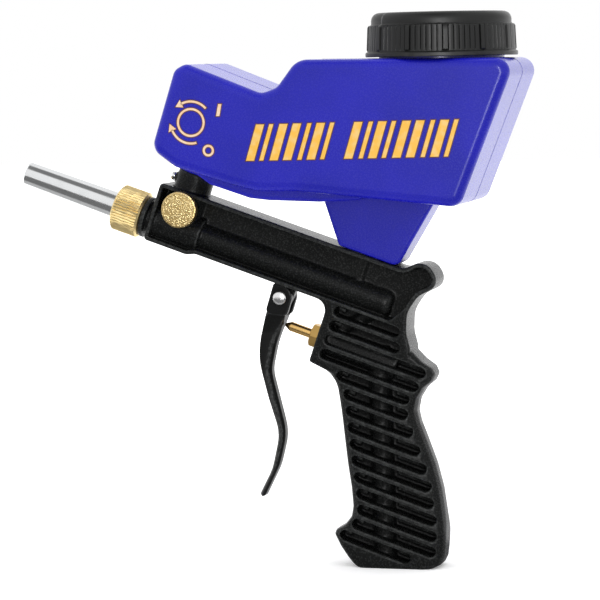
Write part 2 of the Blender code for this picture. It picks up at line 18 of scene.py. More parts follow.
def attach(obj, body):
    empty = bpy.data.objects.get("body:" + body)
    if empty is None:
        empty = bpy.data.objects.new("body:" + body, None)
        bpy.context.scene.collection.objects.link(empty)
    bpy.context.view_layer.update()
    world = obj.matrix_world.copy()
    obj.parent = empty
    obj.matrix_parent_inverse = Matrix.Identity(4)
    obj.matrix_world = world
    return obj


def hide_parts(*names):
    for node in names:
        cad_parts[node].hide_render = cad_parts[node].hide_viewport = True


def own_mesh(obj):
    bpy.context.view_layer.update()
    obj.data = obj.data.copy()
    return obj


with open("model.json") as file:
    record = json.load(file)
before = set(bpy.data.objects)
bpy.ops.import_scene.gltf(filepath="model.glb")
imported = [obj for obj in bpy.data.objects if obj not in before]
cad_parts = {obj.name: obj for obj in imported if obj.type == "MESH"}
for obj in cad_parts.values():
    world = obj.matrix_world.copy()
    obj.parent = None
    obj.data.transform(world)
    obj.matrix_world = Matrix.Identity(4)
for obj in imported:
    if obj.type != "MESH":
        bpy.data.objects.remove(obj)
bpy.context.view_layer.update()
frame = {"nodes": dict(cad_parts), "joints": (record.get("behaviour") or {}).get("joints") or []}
nodes = frame["nodes"]
joints = {joint["name"]: joint for joint in frame["joints"]}

# %% [markdown]
# ## The barrel's own directions
# The barrel slopes, and most of the gun is square to it: the disc, the socket, the fins, the valve stem.
# So places are given as in a workshop drawing, as a distance along the barrel from the body's front face
# and a height across it. Both directions come from the joints of the model, which already know them.

# %% Directions and places
MM = 0.001
ALONG = Vector(joints["valve_stroke"]["axis"]).normalized()
SIDE = Vector((0, 1, 0))
ACROSS = ALONG.cross(SIDE).normalized()
UP = Vector((0, 0, 1))
DISC_S, DISC_T = 16.5, 12.6
FACE = Vector(joints["media_valve_turn"]["pos_m"]) - (ALONG * DISC_S + ACROSS * DISC_T) * MM


def place(s, t, y=0.0):
    """A point s mm along the barrel from the body's front face, t mm above its axis, y mm to the far side."""
    return FACE + (ALONG * s + ACROSS * t + SIDE * y) * MM


def flat(s, t, radius):
    """The same, as the corner of an outline: x and z in mm, and the radius that rounds it."""
    at = place(s, t) / MM
    return at.x, at.z, radius


print("barrel slope", round(math.degrees(math.asin(-ALONG.z)), 2), "degrees")

# %% [markdown]
# ## The camera
# The gun is seen from its left side, with the camera turned a little towards the rear so that the back of
# the hopper shows, at about the height of the cap and far enough away that the lines stay almost parallel.
# A long lens does that: the further back the camera stands, the flatter the picture.

# %% Camera
VIEW_TURN = math.radians(15)
VIEW_RISE = math.radians(5)
VIEW_ROLL = math.radians(-1.1)
VIEW_DISTANCE = 1.6
LENS = 165.5
LOOK_AT = Vector((0.0179, 0.0, 0.154))


def make_camera():
    back = Vector((
        math.sin(VIEW_TURN) * math.cos(VIEW_RISE),
        -math.cos(VIEW_TURN) * math.cos(VIEW_RISE),
        math.sin(VIEW_RISE),
    ))
    camera = bpy.data.objects.new("camera", bpy.data.cameras.new("camera"))
    bpy.context.scene.collection.objects.link(camera)
    camera.data.lens = LENS
    camera.data.sensor_width = 36
    camera.data.clip_end = 20
    aim = (-back).to_track_quat("-Z", "Y").to_matrix().to_4x4()
    camera.matrix_world = (
        Matrix.Translation(LOOK_AT + back * VIEW_DISTANCE) @ aim @ Matrix.Rotation(VIEW_ROLL, 4, "Z")
    )
    bpy.context.scene.camera = camera
    return camera


camera = make_camera()
print("camera", [round(value, 3) for value in camera.location])

# %% [markdown]
# ## Wiring shader nodes without the clutter
# A material is a small graph of nodes, and most of the lines that build one are bookkeeping. A helper that
# adds a node, sets its values and wires its inputs in one call keeps each finish short enough to read.

# %% A helper for node trees
class Tree:
    """Adds nodes to one tree. An input given as a socket is wired, and any other value is set."""

    def __init__(self, tree):
        self.tree = tree

    def add(self, kind, inputs=None, **settings):
        node = self.tree.nodes.new("ShaderNode" + kind)
        for name, value in settings.items():
            setattr(node, name, value)
        for name, value in (inputs or {}).items():
            self.put(node.inputs[name], value)
        return node

    def put(self, socket, value):
        if isinstance(value, bpy.types.NodeSocket):
            self.tree.links.new(value, socket)
        else:
            socket.default_value = value

    def blend(self, share, first, second):
        """A colour between two colours."""
        node = self.add("Mix", data_type="RGBA")
        self.put(node.inputs["Factor"], share)
        self.put(node.inputs[6], first)
        self.put(node.inputs[7], second)
        return node.outputs[2]

    def span(self, value, low, high, to_low=0.0, to_high=1.0):
        """A value carried smoothly from one range to another."""
        return self.add(
            "MapRange",
            {"Value": value, "From Min": low, "From Max": high, "To Min": to_low, "To Max": to_high},
            interpolation_type="SMOOTHSTEP",
        ).outputs["Result"]


def grey(value):
    return value, value, value, 1.0


print("node helper ready")

# %% [markdown]
# ## The studio
# Catalogue pictures are lit by white walls: the tool reflects them in long soft bands, and its colours stay
# deep because nothing points straight at it. The world stands for the walls. It is a little darker overhead,
# and brighter behind the gun, where it gives the edges that face away a pale sheen. A large lamp above
# whitens the floor and leaves one soft shadow under the grip. Bright round metal needs something dark to
# reflect as well, or it turns to fog, so a dark card lies in front of the gun and a paler one beneath it. A
# narrow white strip stands before the camera for the long highlights on tubes. Only reflections can see the
# cards and the strip.

# %% World and lamp
WALL, OVERHEAD, BEHIND = 0.88, 0.18, 1.9
DARK_SPOT, DARK_SPOT_RANGE = tuple(Vector((-0.1, -0.26, 0.96)).normalized()), (0.915, 0.965)
BEHIND_RANGE = (0.75, 0.95)
LAMP_HEIGHT, LAMP_SIDE, LAMP_WATTS = 2.0, 2.0, 27.0


def studio_world():
    world = bpy.data.worlds.new("studio")
    bpy.context.scene.world = world
    world.use_nodes = True
    tree = Tree(world.node_tree)
    background = world.node_tree.nodes["Background"]
    heading = tree.add("TexCoord").outputs["Generated"]
    near_spot = tree.add("VectorMath", {0: heading, 1: DARK_SPOT}, operation="DOT_PRODUCT").outputs["Value"]
    walls = tree.span(near_spot, *DARK_SPOT_RANGE, WALL, OVERHEAD)
    backwards = tree.add("SeparateXYZ", {"Vector": heading}).outputs["Y"]
    backlight = tree.span(backwards, *BEHIND_RANGE, 1.0, BEHIND)
    light = tree.add("Math", {0: walls, 1: backlight}, operation="MULTIPLY").outputs[0]
    seen = tree.add("LightPath").outputs["Is Camera Ray"]
    strength = tree.add("MapRange", {"Value": seen, "To Min": light, "To Max": 1.0}).outputs["Result"]
    background.inputs["Color"].default_value = grey(1.0)
    tree.put(background.inputs["Strength"], strength)


def lamp(name, at, size, watts):
    light = bpy.data.lights.new(name, "AREA")
    light.shape = "SQUARE"
    light.size = size
    light.energy = watts
    holder = bpy.data.objects.new(name, light)
    bpy.context.scene.collection.objects.link(holder)
    holder.location = at
    holder.rotation_euler = (-Vector(at)).to_track_quat("-Z", "Y").to_euler()
    holder.visible_glossy = False
    return holder


bpy.context.scene.view_settings.view_transform = "Standard"
studio_world()
lamp("overhead_lamp", (0.0, -0.3, LAMP_HEIGHT), LAMP_SIDE, LAMP_WATTS)
print("walls", WALL, "overhead", OVERHEAD, "behind", round(WALL * BEHIND, 2))

# %% Floor, dark card and strip light
FLOOR_REACH, FLOOR_GREY, FLOOR_GLOW, FLOOR_GLOW_BEHIND = 6.0, 0.92, 0.22, 1.0
FLOOR_GLOW_RANGE, CARD_HEIGHT = (0.3, 1.0), 0.0004
DARK_CARD_CENTRE, DARK_CARD_SIZE, DARK_CARD_GREY = (-0.3, -1.66), (3.0, 3.06), 0.12
PALE_CARD_CENTRE, PALE_CARD_SIZE, PALE_CARD_GREY = (-0.3, -0.03), (3.0, 0.2), 0.36
STRIP_TURN, STRIP_DISTANCE, STRIP_SIZE = VIEW_TURN, 1.3, (0.17, 0.75)
STRIP_FOOT, STRIP_GLOW = 0.01, 20.0


def made_of(bm, name):
    """Turns a mesh under construction into an object, at its true place."""
    mesh = bpy.data.meshes.new(name)
    bm.to_mesh(mesh)
    bm.free()
    obj = bpy.data.objects.new(name, mesh)
    bpy.context.scene.collection.objects.link(obj)
    return obj


def sheet(name, centre, size, height, colour):
    """A matt sheet lying at a height. Returns its object and its shader."""
    bm = bmesh.new()
    bmesh.ops.create_grid(bm, x_segments=2, y_segments=2, size=0.5)
    bmesh.ops.scale(bm, verts=bm.verts, vec=(size[0], size[1], 1))
    bmesh.ops.translate(bm, verts=bm.verts, vec=(centre[0], centre[1], height))
    obj = made_of(bm, name)
    paint = bpy.data.materials.new(name)
    paint.use_nodes = True
    shader = paint.node_tree.nodes["Principled BSDF"]
    shader.inputs["Base Color"].default_value = grey(colour)
    shader.inputs["Roughness"].default_value = 0.9
    shader.inputs["Specular IOR Level"].default_value = 0.0
    obj.data.materials.append(paint)
    return obj, shader


def light_floor(shader):
    """A translucent table lit from below, as catalogue studios have, brighter behind the gun."""
    tree = Tree(shader.id_data)
    spot = tree.add("SeparateXYZ", {"Vector": tree.add("TexCoord").outputs["Object"]}).outputs["Y"]
    shader.inputs["Emission Color"].default_value = grey(1.0)
    glow = tree.span(spot, *FLOOR_GLOW_RANGE, FLOOR_GLOW, FLOOR_GLOW_BEHIND)
    tree.put(shader.inputs["Emission Strength"], glow)


def card(name, centre, size, height, colour):
    """A sheet that only reflections can see."""
    obj, shader = sheet(name, centre, size, height, colour)
    obj.visible_camera = False
    obj.visible_diffuse = False
    obj.visible_shadow = False
    return obj, shader


def stand_and_glow(strip, shader):
    shader.inputs["Emission Color"].default_value = grey(1.0)
    shader.inputs["Emission Strength"].default_value = STRIP_GLOW
    strip.matrix_world = (
        Matrix.Rotation(STRIP_TURN, 4, "Z")
        @ Matrix.Translation((0, -STRIP_DISTANCE, STRIP_SIZE[1] / 2 + STRIP_FOOT))
        @ Matrix.Rotation(math.pi / 2, 4, "X")
    )


light_floor(sheet("floor", (0, 0), (2 * FLOOR_REACH, 2 * FLOOR_REACH), 0.0, FLOOR_GREY)[1])
card("dark_card", DARK_CARD_CENTRE, DARK_CARD_SIZE, CARD_HEIGHT, DARK_CARD_GREY)
card("pale_card", PALE_CARD_CENTRE, PALE_CARD_SIZE, CARD_HEIGHT, PALE_CARD_GREY)
stand_and_glow(*card("strip_card", (0, 0), STRIP_SIZE, 0.0, 0.0))
print("floor, dark card, pale card and strip light")

# %% [markdown]
# ## Two ways to make a solid
# Nearly everything here was made either on a lathe or from a flat outline. A lathe turns a profile round an
# axis, so `turned` does the same with rings of points, and a small function of the angle can push each
# point in or out, which is how the knurl and the ribs of the cap are cut. `plate` fills an outline with
# round corners, gives it thickness and rounds its edges. Both put the mesh at its true place, with the
# object's origin at the world's, as the frame does.

# %% Turned shapes
def bridge(bm, rings):
    """Faces between each ring of points and the next. A point that a ring repeats counts once."""
    for first, second in zip(rings, rings[1:]):
        for i in range(len(first)):
            j = (i + 1) % len(first)
            corners = dict.fromkeys((first[i], first[j], second[j], second[i]))
            if len(corners) > 2:
                bm.faces.new(corners)


def smooth(obj, angle=30):
    obj.data.shade_smooth()
    obj.data.set_sharp_from_angle(angle=math.radians(angle))
    return obj


def turned(name, profile, start, axis, steps=96, relief=None):
    """A solid of revolution from (distance along, radius) pairs in mm, from one end on the axis to the
    other or round a closed ring. relief(angle, along, radius) is added to the radius."""
    turn = Matrix.Translation(start) @ axis.to_track_quat("Z", "Y").to_matrix().to_4x4()
    bm = bmesh.new()
    rings = []
    for along, radius in profile:
        if radius <= 0:
            rings.append([bm.verts.new(turn @ Vector((0, 0, along * MM)))] * steps)
            continue
        ring = []
        for step in range(steps):
            angle = math.tau * step / steps
            reach = radius + (relief(angle, along, radius) if relief else 0.0)
            spot = Vector((reach * math.cos(angle), reach * math.sin(angle), along)) * MM
            ring.append(bm.verts.new(turn @ spot))
        rings.append(ring)
    if profile[0][1] > 0:
        rings.append(rings[0])
    bridge(bm, rings)
    bmesh.ops.recalc_face_normals(bm, faces=bm.faces)
    return smooth(made_of(bm, name))


def round_off(along, radius, size, steps):
    """Profile points of a rounded outer corner, from the side at radius to the flat end at along. A size
    below zero rounds towards a lower end."""
    points = []
    for step in range(steps + 1):
        bend = math.radians(90 * step / steps)
        points.append((along - size * (1 - math.sin(bend)), radius - abs(size) * (1 - math.cos(bend))))
    return points


print("lathe ready")

# %% Flat outlines
def rounded(corners, inset=0.0, fineness=6):
    """The outline through (x, z, radius) corners, given anticlockwise, its corners turned into arcs with a
    point every few degrees, and the whole moved inwards by inset."""
    count = len(corners)
    spots = [Vector(corner[:2]) for corner in corners]
    outline = []
    for i, spot in enumerate(spots):
        before = (spot - spots[i - 1]).normalized()
        after = (spots[(i + 1) % count] - spot).normalized()
        left, right = Vector((-before.y, before.x)), Vector((-after.y, after.x))
        spot = spot + (left + right) / (1 + before.dot(after)) * inset
        turn = before.cross(after)
        hand = 1 if turn > 0 else -1
        if corners[i][2] == 0:
            outline.append(spot)
            continue
        radius = max(corners[i][2] - inset * hand, 0.05)
        angle = abs(math.atan2(turn, before.dot(after)))
        reach = radius * math.tan(angle / 2)
        centre = spot - before * reach + left * radius * hand
        arm = spot - before * reach - centre
        steps = max(2, round(angle / math.radians(fineness)))
        for step in range(steps + 1):
            outline.append(centre + Matrix.Rotation(hand * angle * step / steps, 2) @ arm)
    return outline


def plate(name, corners, half, inset=0.0, edge=0.0, segments=5):
    """The outline through the corners as a solid in the XZ plane, half thick to each side, its edges
    rounded by edge. Each layer of the rounding is the same outline, moved inwards."""
    layers = [(half, inset)]
    if edge:
        bends = [math.radians(90 * step / segments) for step in range(segments + 1)]
        layers = [
            (half - edge * (1 - math.cos(bend)), inset + edge * (1 - math.sin(bend))) for bend in bends
        ]
    layers = [(-y, inward) for y, inward in layers] + layers[::-1]
    bm = bmesh.new()
    rings = [
        [bm.verts.new((x * MM, y * MM, z * MM)) for x, z in rounded(corners, inward)]
        for y, inward in layers
    ]
    bm.faces.new(rings[0])
    bm.faces.new(rings[-1][::-1])
    bridge(bm, rings[::-1])
    bmesh.ops.recalc_face_normals(bm, faces=bm.faces)
    return made_of(bm, name)


print("outlines ready")

# %% [markdown]
# ## Joining, cutting and softening
# Booleans join and cut solids as a machinist would. Their edges come out razor sharp, though, and a casting
# has none: molten metal leaves every edge and inner corner a little round. A voxel remesh rebuilds the
# surface on a fine grid, and a few rounds of smoothing then soften all the corners at once, by about the
# same radius everywhere. That is how the body and the trigger get their cast look.

# %% Booleans and remeshing
def settle(obj):
    """Applies the modifiers of an object, and returns it."""
    graph = bpy.context.evaluated_depsgraph_get()
    graph.update()
    old = obj.data
    obj.data = bpy.data.meshes.new_from_object(obj.evaluated_get(graph))
    obj.modifiers.clear()
    bpy.data.meshes.remove(old)
    return obj


def combine(target, operation, tools):
    for tool in tools:
        mod = target.modifiers.new(tool.name, "BOOLEAN")
        mod.operation = operation
        mod.solver = "EXACT"
        mod.object = tool
    settle(target)
    for tool in tools:
        bpy.data.objects.remove(tool)
    return target


def soften(obj, voxel, rounds, keep):
    """Rebuilds the surface on a grid of voxel mm, smooths it, and keeps that share of its triangles."""
    remesh = obj.modifiers.new("grid", "REMESH")
    remesh.mode = "VOXEL"
    remesh.voxel_size = voxel * MM
    relax = obj.modifiers.new("relax", "SMOOTH")
    relax.factor = 0.5
    relax.iterations = rounds
    thin = obj.modifiers.new("thin", "DECIMATE")
    thin.ratio = keep
    settle(obj)
    obj.data.shade_smooth()
    return obj


print("modelling helpers ready")

# %% [markdown]
# ## Effects that several finishes share
# Paint, plastic and rubber all have a fine grain, and worked edges lose a little of their surface. Each
# effect is built once as a node group and placed in the materials with its own values. The grain is noise
# at a size given in millimetres. The wear comes from how sharply the surface bends, broken up by noise,
# because real wear is never an even line. The lathe marks are noise stretched into rings.

# %% Shared node groups
def new_group(name, inputs, outputs):
    """A node group with number inputs (name: starting value), and its inner sockets."""
    made = bpy.data.node_groups.new(name, "ShaderNodeTree")
    for label, value in inputs.items():
        socket = made.interface.new_socket(label, in_out="INPUT", socket_type="NodeSocketFloat")
        socket.default_value = value
    for label in outputs:
        made.interface.new_socket(label, in_out="OUTPUT", socket_type="NodeSocketFloat")
    tree = Tree(made)
    return made, tree, made.nodes.new("NodeGroupInput").outputs, made.nodes.new("NodeGroupOutput").inputs


def grain_group():
    made, tree, given, out = new_group("fine_grain", {"Size": 0.5}, ("Height", "Fleck"))
    scale = tree.add("Math", {0: 1 / MM, 1: given["Size"]}, operation="DIVIDE").outputs[0]
    spot = tree.add("TexCoord").outputs["Object"]
    fine = tree.add("TexNoise", {"Vector": spot, "Scale": scale, "Detail": 3.0, "Roughness": 0.6})
    tree.put(out["Height"], fine.outputs[0])
    tree.put(out["Fleck"], tree.span(fine.outputs[0], 0.48, 0.72))
    return made


def wear_group():
    made, tree, given, out = new_group("edge_wear", {"Start": 0.52, "Full": 0.6, "Breakup": 3.0}, ("Mask",))
    bend = tree.add("NewGeometry").outputs["Pointiness"]
    edge = tree.span(bend, given["Start"], given["Full"])
    scale = tree.add("Math", {0: 1 / MM, 1: given["Breakup"]}, operation="DIVIDE").outputs[0]
    spot = tree.add("TexCoord").outputs["Object"]
    patches = tree.add("TexNoise", {"Vector": spot, "Scale": scale, "Detail": 4.0}).outputs[0]
    broken = tree.span(patches, 0.35, 0.65, 0.25, 1.0)
    tree.put(out["Mask"], tree.add("Math", {0: edge, 1: broken}, operation="MULTIPLY").outputs[0])
    return made


def lathe_group():
    made, tree, given, out = new_group("lathe_marks", {"Distance": 0.0, "Pitch": 0.15}, ("Height",))
    scale = tree.add("Math", {0: 1 / MM, 1: given["Pitch"]}, operation="DIVIDE").outputs[0]
    rings = tree.add(
        "TexNoise", {"W": given["Distance"], "Scale": scale, "Detail": 2.0}, noise_dimensions="1D"
    )
    tree.put(out["Height"], rings.outputs[0])
    return made


GRAIN, WEAR, LATHE = grain_group(), wear_group(), lathe_group()
print("groups:", GRAIN.name, WEAR.name, LATHE.name)

# %% A helper for finishes
def new_finish(name, roughness, metallic=0.0, specular=0.5):
    """A material, its tree helper and its Principled shader."""
    finish = bpy.data.materials.new(name)
    finish.use_nodes = True
    shader = finish.node_tree.nodes["Principled BSDF"]
    shader.inputs["Roughness"].default_value = roughness
    shader.inputs["Metallic"].default_value = metallic
    shader.inputs["Specular IOR Level"].default_value = specular
    return finish, Tree(finish.node_tree), shader


def use_group(tree, group, **inputs):
    node = tree.add("Group", node_tree=group)
    for label, value in inputs.items():
        tree.put(node.inputs[label], value)
    return node.outputs


def emboss(tree, shader, height, depth, strength=1.0):
    """Raises the surface by depth mm where height is high."""
    bump = tree.add("Bump", {"Height": height, "Distance": depth * MM, "Strength": strength})
    tree.put(shader.inputs["Normal"], bump.outputs["Normal"])


def rgb(red, green, blue):
    return red, green, blue, 1.0


print("finish helper ready")

# %% [markdown]
# ## Black paint on the casting, and on the trigger
# The body is die-cast metal under satin black paint. The paint follows the fine grain of the die, so close
# up it breaks into flecks, some a little lighter and duller than the rest. On the edges it is rubbed
# paler, and in the corners its colour is pulled to the darkest tone, which is painted shade.
# The trigger has the same paint on a smoother skin, so it shares the recipe with a finer, weaker grain.

# %% Black paints
PAINT_IOR = 1.2


def black_paint(name, grain, depth, base, fleck, rubbed, roughness):
    """grain is the size of the flecks and depth their height, both in mm."""
    finish, tree, shader = new_finish(name, roughness)
    shader.inputs["IOR"].default_value = PAINT_IOR
    skin = use_group(tree, GRAIN, Size=grain)
    worn = use_group(tree, WEAR, Start=0.508, Full=0.555, Breakup=1.5)["Mask"]
    painted = tree.blend(skin["Fleck"], rgb(*base), rgb(*fleck))
    # painted shade: where the surface bends inwards, in corners and creases, the flecks are blended away to
    # the darkest tone
    bend = tree.add("NewGeometry").outputs["Pointiness"]
    painted = tree.blend(tree.span(bend, 0.42, 0.485, 0.85, 0.0), painted, rgb(*base))
    tree.put(shader.inputs["Base Color"], tree.blend(worn, painted, rgb(*rubbed)))
    tree.put(shader.inputs["Roughness"], tree.span(skin["Fleck"], 0.0, 1.0, roughness, roughness + 0.1))
    emboss(tree, shader, skin["Height"], depth, 0.8)
    return finish


CAST_BLACK = black_paint(
    "black_cast_paint", 0.9, 0.14,
    (0.006, 0.0064, 0.0063), (0.026, 0.0275, 0.0268), (0.06, 0.063, 0.062), 0.27,
)
TRIGGER_BLACK = black_paint(
    "black_trigger_paint", 0.4, 0.02,
    (0.006, 0.0063, 0.0063), (0.012, 0.0126, 0.0124), (0.05, 0.052, 0.052), 0.3,
)
print("paints:", CAST_BLACK.name, TRIGGER_BLACK.name)

# %% [markdown]
# ## Moulded plastic and rubber
# The hopper is tough blue plastic, thick enough for its colour to look deep. Its skin has a soft orange
# peel and drifts slightly in tone. It is glossy at a low angle and saturated straight on, which is the
# Principled shader's own doing. The cap's plastic is harder, duller and black, and the seals are rubber.

# %% Plastics and rubber
def moulded(name, base, drift, grain, depth, roughness, specular):
    """base and drift are the two tones of the colour, grain and depth the skin's grain in mm."""
    finish, tree, shader = new_finish(name, roughness, specular=specular)
    skin = use_group(tree, GRAIN, Size=grain)
    spot = tree.add("TexCoord").outputs["Object"]
    tone = tree.add("TexNoise", {"Vector": spot, "Scale": 22.0, "Detail": 2.0}).outputs[0]
    worn = use_group(tree, WEAR, Start=0.53, Full=0.66, Breakup=4.0)["Mask"]
    colour = tree.blend(tree.span(tone, 0.35, 0.65), rgb(*base), rgb(*drift))
    pale = tree.blend(0.12, rgb(*drift), grey(1.0))
    tree.put(shader.inputs["Base Color"], tree.blend(worn, colour, pale))
    duller = roughness + 0.08
    tree.put(shader.inputs["Roughness"], tree.span(skin["Fleck"], 0.0, 1.0, roughness, duller))
    emboss(tree, shader, skin["Height"], depth, 0.3)
    return finish


HOPPER_BLUE = moulded(
    "blue_hopper_plastic", (0.0055, 0.0065, 0.33), (0.008, 0.008, 0.38), 0.7, 0.016, 0.27, 0.38
)
CAP_BLACK = moulded(
    "black_cap_plastic", (0.0042, 0.0045, 0.0044), (0.006, 0.0064, 0.0062), 0.5, 0.02, 0.42, 0.38
)
RUBBER = moulded("black_rubber", (0.010, 0.010, 0.010), (0.016, 0.016, 0.015), 0.3, 0.01, 0.6, 0.35)
print("plastics:", HOPPER_BLUE.name, CAP_BLACK.name, RUBBER.name)

# %% [markdown]
# ## Printing ink
# The side of the hopper carries a print in gold with a thin dark red edge. Screen-printed ink is thin and
# slightly uneven: where the squeegee pressed hard the gold is paler.

# %% Inks
def ink(name, full, thin):
    finish, tree, shader = new_finish(name, 0.45)
    spot = tree.add("TexCoord").outputs["Object"]
    film = tree.add("TexNoise", {"Vector": spot, "Scale": 260.0, "Detail": 5.0}).outputs[0]
    tree.put(shader.inputs["Base Color"], tree.blend(tree.span(film, 0.4, 0.7), rgb(*full), rgb(*thin)))
    tree.put(shader.inputs["Roughness"], tree.span(film, 0.4, 0.7, 0.4, 0.55))
    return finish


GOLD_INK = ink("gold_ink", (0.83, 0.45, 0.045), (0.80, 0.52, 0.16))
PALE_INK = ink("pale_gold_ink", (0.80, 0.52, 0.30), (0.80, 0.60, 0.42))
RED_INK = ink("dark_red_ink", (0.07, 0.008, 0.02), (0.10, 0.012, 0.03))
print("inks:", GOLD_INK.name, PALE_INK.name, RED_INK.name)

# %% [markdown]
# ## Metals
# Brass and steel get nearly all their look from what they reflect, so the finish lies in small things: the
# rings that the lathe left, the peened stipple on the disc, the faint grain of the plated nozzle, and a
# roughness that is never quite even. The metals also darken in random patches of tarnish, and in their
# hollows, where the darker colour is painted shade.

# %% Metals
PEEN, LATHE_PITCH, PLAIN_GRAIN, STAIN = 1.0, 0.22, 0.45, 9.0


def metal(name, bright, dull, roughness, marks, depth):
    """marks is "rings" round the barrel's direction, "stipple" for a peened face, or "plain"."""
    finish, tree, shader = new_finish(name, roughness, metallic=1.0)
    spot = tree.add("TexCoord").outputs["Object"]
    patches = tree.add("TexNoise", {"Vector": spot, "Scale": 1 / (STAIN * MM), "Detail": 6.0}).outputs[0]
    worn = tree.span(patches, 0.42, 0.8, 0.0, 0.55)
    bend = tree.add("NewGeometry").outputs["Pointiness"]
    # painted shade: where the surface bends inwards, in hollows and between the knurl's teeth, the colour
    # goes to the dull tone
    painted_hollow_shade = tree.span(bend, 0.34, 0.48, 0.65, 0.0)
    # share mixes the random tarnish patches with the painted shade of the hollows, both shown in the dull
    # colour
    share = tree.add("Math", {0: worn, 1: painted_hollow_shade}, operation="MAXIMUM").outputs[0]
    if marks == "stipple":
        pits = tree.add("TexVoronoi", {"Vector": spot, "Scale": 1 / (PEEN * MM), "Randomness": 1.0})
        height = tree.span(pits.outputs["Distance"], 0.05, 0.55, 1.0, 0.0)
        share = tree.span(pits.outputs["Distance"], 0.25, 0.6)
    elif marks == "rings":
        axis = tree.add("VectorMath", {0: spot, 1: tuple(ALONG)}, operation="DOT_PRODUCT").outputs["Value"]
        height = use_group(tree, LATHE, Distance=axis, Pitch=LATHE_PITCH)["Height"]
    else:
        height = use_group(tree, GRAIN, Size=PLAIN_GRAIN)["Height"]
    tree.put(shader.inputs["Base Color"], tree.blend(share, rgb(*bright), rgb(*dull)))
    tree.put(shader.inputs["Roughness"], tree.span(patches, 0.3, 0.75, roughness, roughness + 0.06))
    emboss(tree, shader, height, depth, 0.5)
    return finish


ZINC = metal("zinc_plate", (0.90, 0.91, 0.92), (0.80, 0.81, 0.82), 0.14, "plain", 0.003)
KNURLED_BRASS = metal("knurled_nut_brass", (1.0, 0.80, 0.40), (0.92, 0.66, 0.28), 0.42, "plain", 0.01)
DISC_BRASS = metal("disc_face_brass", (0.80, 0.65, 0.34), (0.66, 0.47, 0.19), 0.34, "stipple", 0.3)
TURNED_BRASS = metal("lathe_brass", (0.86, 0.55, 0.20), (0.50, 0.27, 0.08), 0.24, "rings", 0.006)
GLAND_BRASS = metal("hex_gland_brass", (0.60, 0.38, 0.12), (0.38, 0.22, 0.06), 0.3, "plain", 0.01)
RIVET_STEEL = metal("rivet_head_steel", (0.90, 0.90, 0.90), (0.70, 0.70, 0.70), 0.22, "plain", 0.01)
SPRING_STEEL = metal("spring_wire_steel", (0.50, 0.50, 0.52), (0.30, 0.29, 0.28), 0.28, "plain", 0.01)
print("metals:", ZINC.name, KNURLED_BRASS.name, DISC_BRASS.name, TURNED_BRASS.name)

# %% [markdown]
# ## Standing in for a part
# Each fine piece takes the place of one part of the model: it rides on the same body, so it moves with the
# same joint, and the plain part is hidden. Parts whose shape is right already only need a finish.

# %% Standing in
def stand_in(piece, body, node, finish):
    piece.data.materials.clear()
    piece.data.materials.append(finish)
    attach(piece, body)
    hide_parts(node)
    print(piece.name, "stands for", node, "with", len(piece.data.polygons), "faces")
    return piece


def dress(finish, *names):
    """Gives parts of the model a finish and keeps their shape."""
    for name in names:
        nodes[name].data.materials.clear()
        nodes[name].data.materials.append(finish)
        nodes[name].data.shade_smooth()
        nodes[name].data.set_sharp_from_angle(angle=math.radians(35))


dress(RUBBER, "cap_seal", "nozzle_seal", "air_jet_seal", "media_valve_seal_near", "media_valve_seal_far",
      "spout_seal", "valve_washer")
dress(SPRING_STEEL, "media_valve_clip", "foot_dowel")
dress(TURNED_BRASS, "air_jet")
print("inner parts dressed")

# %% [markdown]
# ## The cast body
# The model's casting has every web, slot and boss, with edges that are too crisp. Here its mesh is copied,
# and what a caster would add is put in as plain overlapping blocks: low steps on the web inside the slots,
# which stiffen the grip, and a collar behind the nozzle nut. A ray along each slot finds where it ends, so
# the steps always fit. The remesh then fuses it all and rounds every corner.

# %% The cast body
SLOT_FIRST, SLOT_PITCH, SLOT_COUNT = -12.0, 8.7, 15
WEB_HALF, STEP_DEPTH, STEP_HEIGHT = 2.4, 3.0, 2.2
GRIP_TUBE_X, GRIP_TUBE_R = 67.6, 7.0
FRONT_STEP, STEP_CLEAR, RAY_Y, RAY_REACH, LEAST_ROOM = 5.5, 1.5, 8, 60, 7
COLLAR_START, COLLAR_LENGTH, COLLAR_R = -5.9, 2.7, 12.2


def block(bm, start, end, t, y):
    """A bar along the barrel's direction, from start to end, its centre at (t, y)."""
    size = Vector((end - start, 2 * STEP_DEPTH, STEP_HEIGHT)) * MM
    turn = Matrix((ALONG, SIDE, ACROSS)).transposed().to_4x4()
    middle = Matrix.Translation(place((start + end) / 2, t, y))
    bmesh.ops.create_cube(bm, size=1.0, matrix=middle @ turn @ Matrix.Diagonal((*size, 1)))


def slot_steps(bm, walls):
    """The steps beside the grip's tube, on both sides of the web. Behind the tube a step fills its half
    of the slot, and in front it is only a short one at the end. Returns how many were made."""
    made = 0
    for number in range(SLOT_COUNT):
        t = SLOT_FIRST - number * SLOT_PITCH
        tube_s = (GRIP_TUBE_X * MM - place(0, t).x) / ALONG.x / MM
        for side in (-1, 1):
            for way, reach, shift in ((1, 0.0, 1.0), (-1, FRONT_STEP, 0.6)):
                start = tube_s + way * (GRIP_TUBE_R + STEP_CLEAR)
                room = walls.ray_cast(place(start, t, side * RAY_Y), ALONG * way, RAY_REACH * MM)[3]
                if room is None or room < LEAST_ROOM * MM:
                    continue
                end = start + way * room / MM
                first = end - way * reach if reach else start
                low, high = sorted((first, end + way))
                block(bm, low, high, t + shift, side * WEB_HALF)
                made += 1
    return made


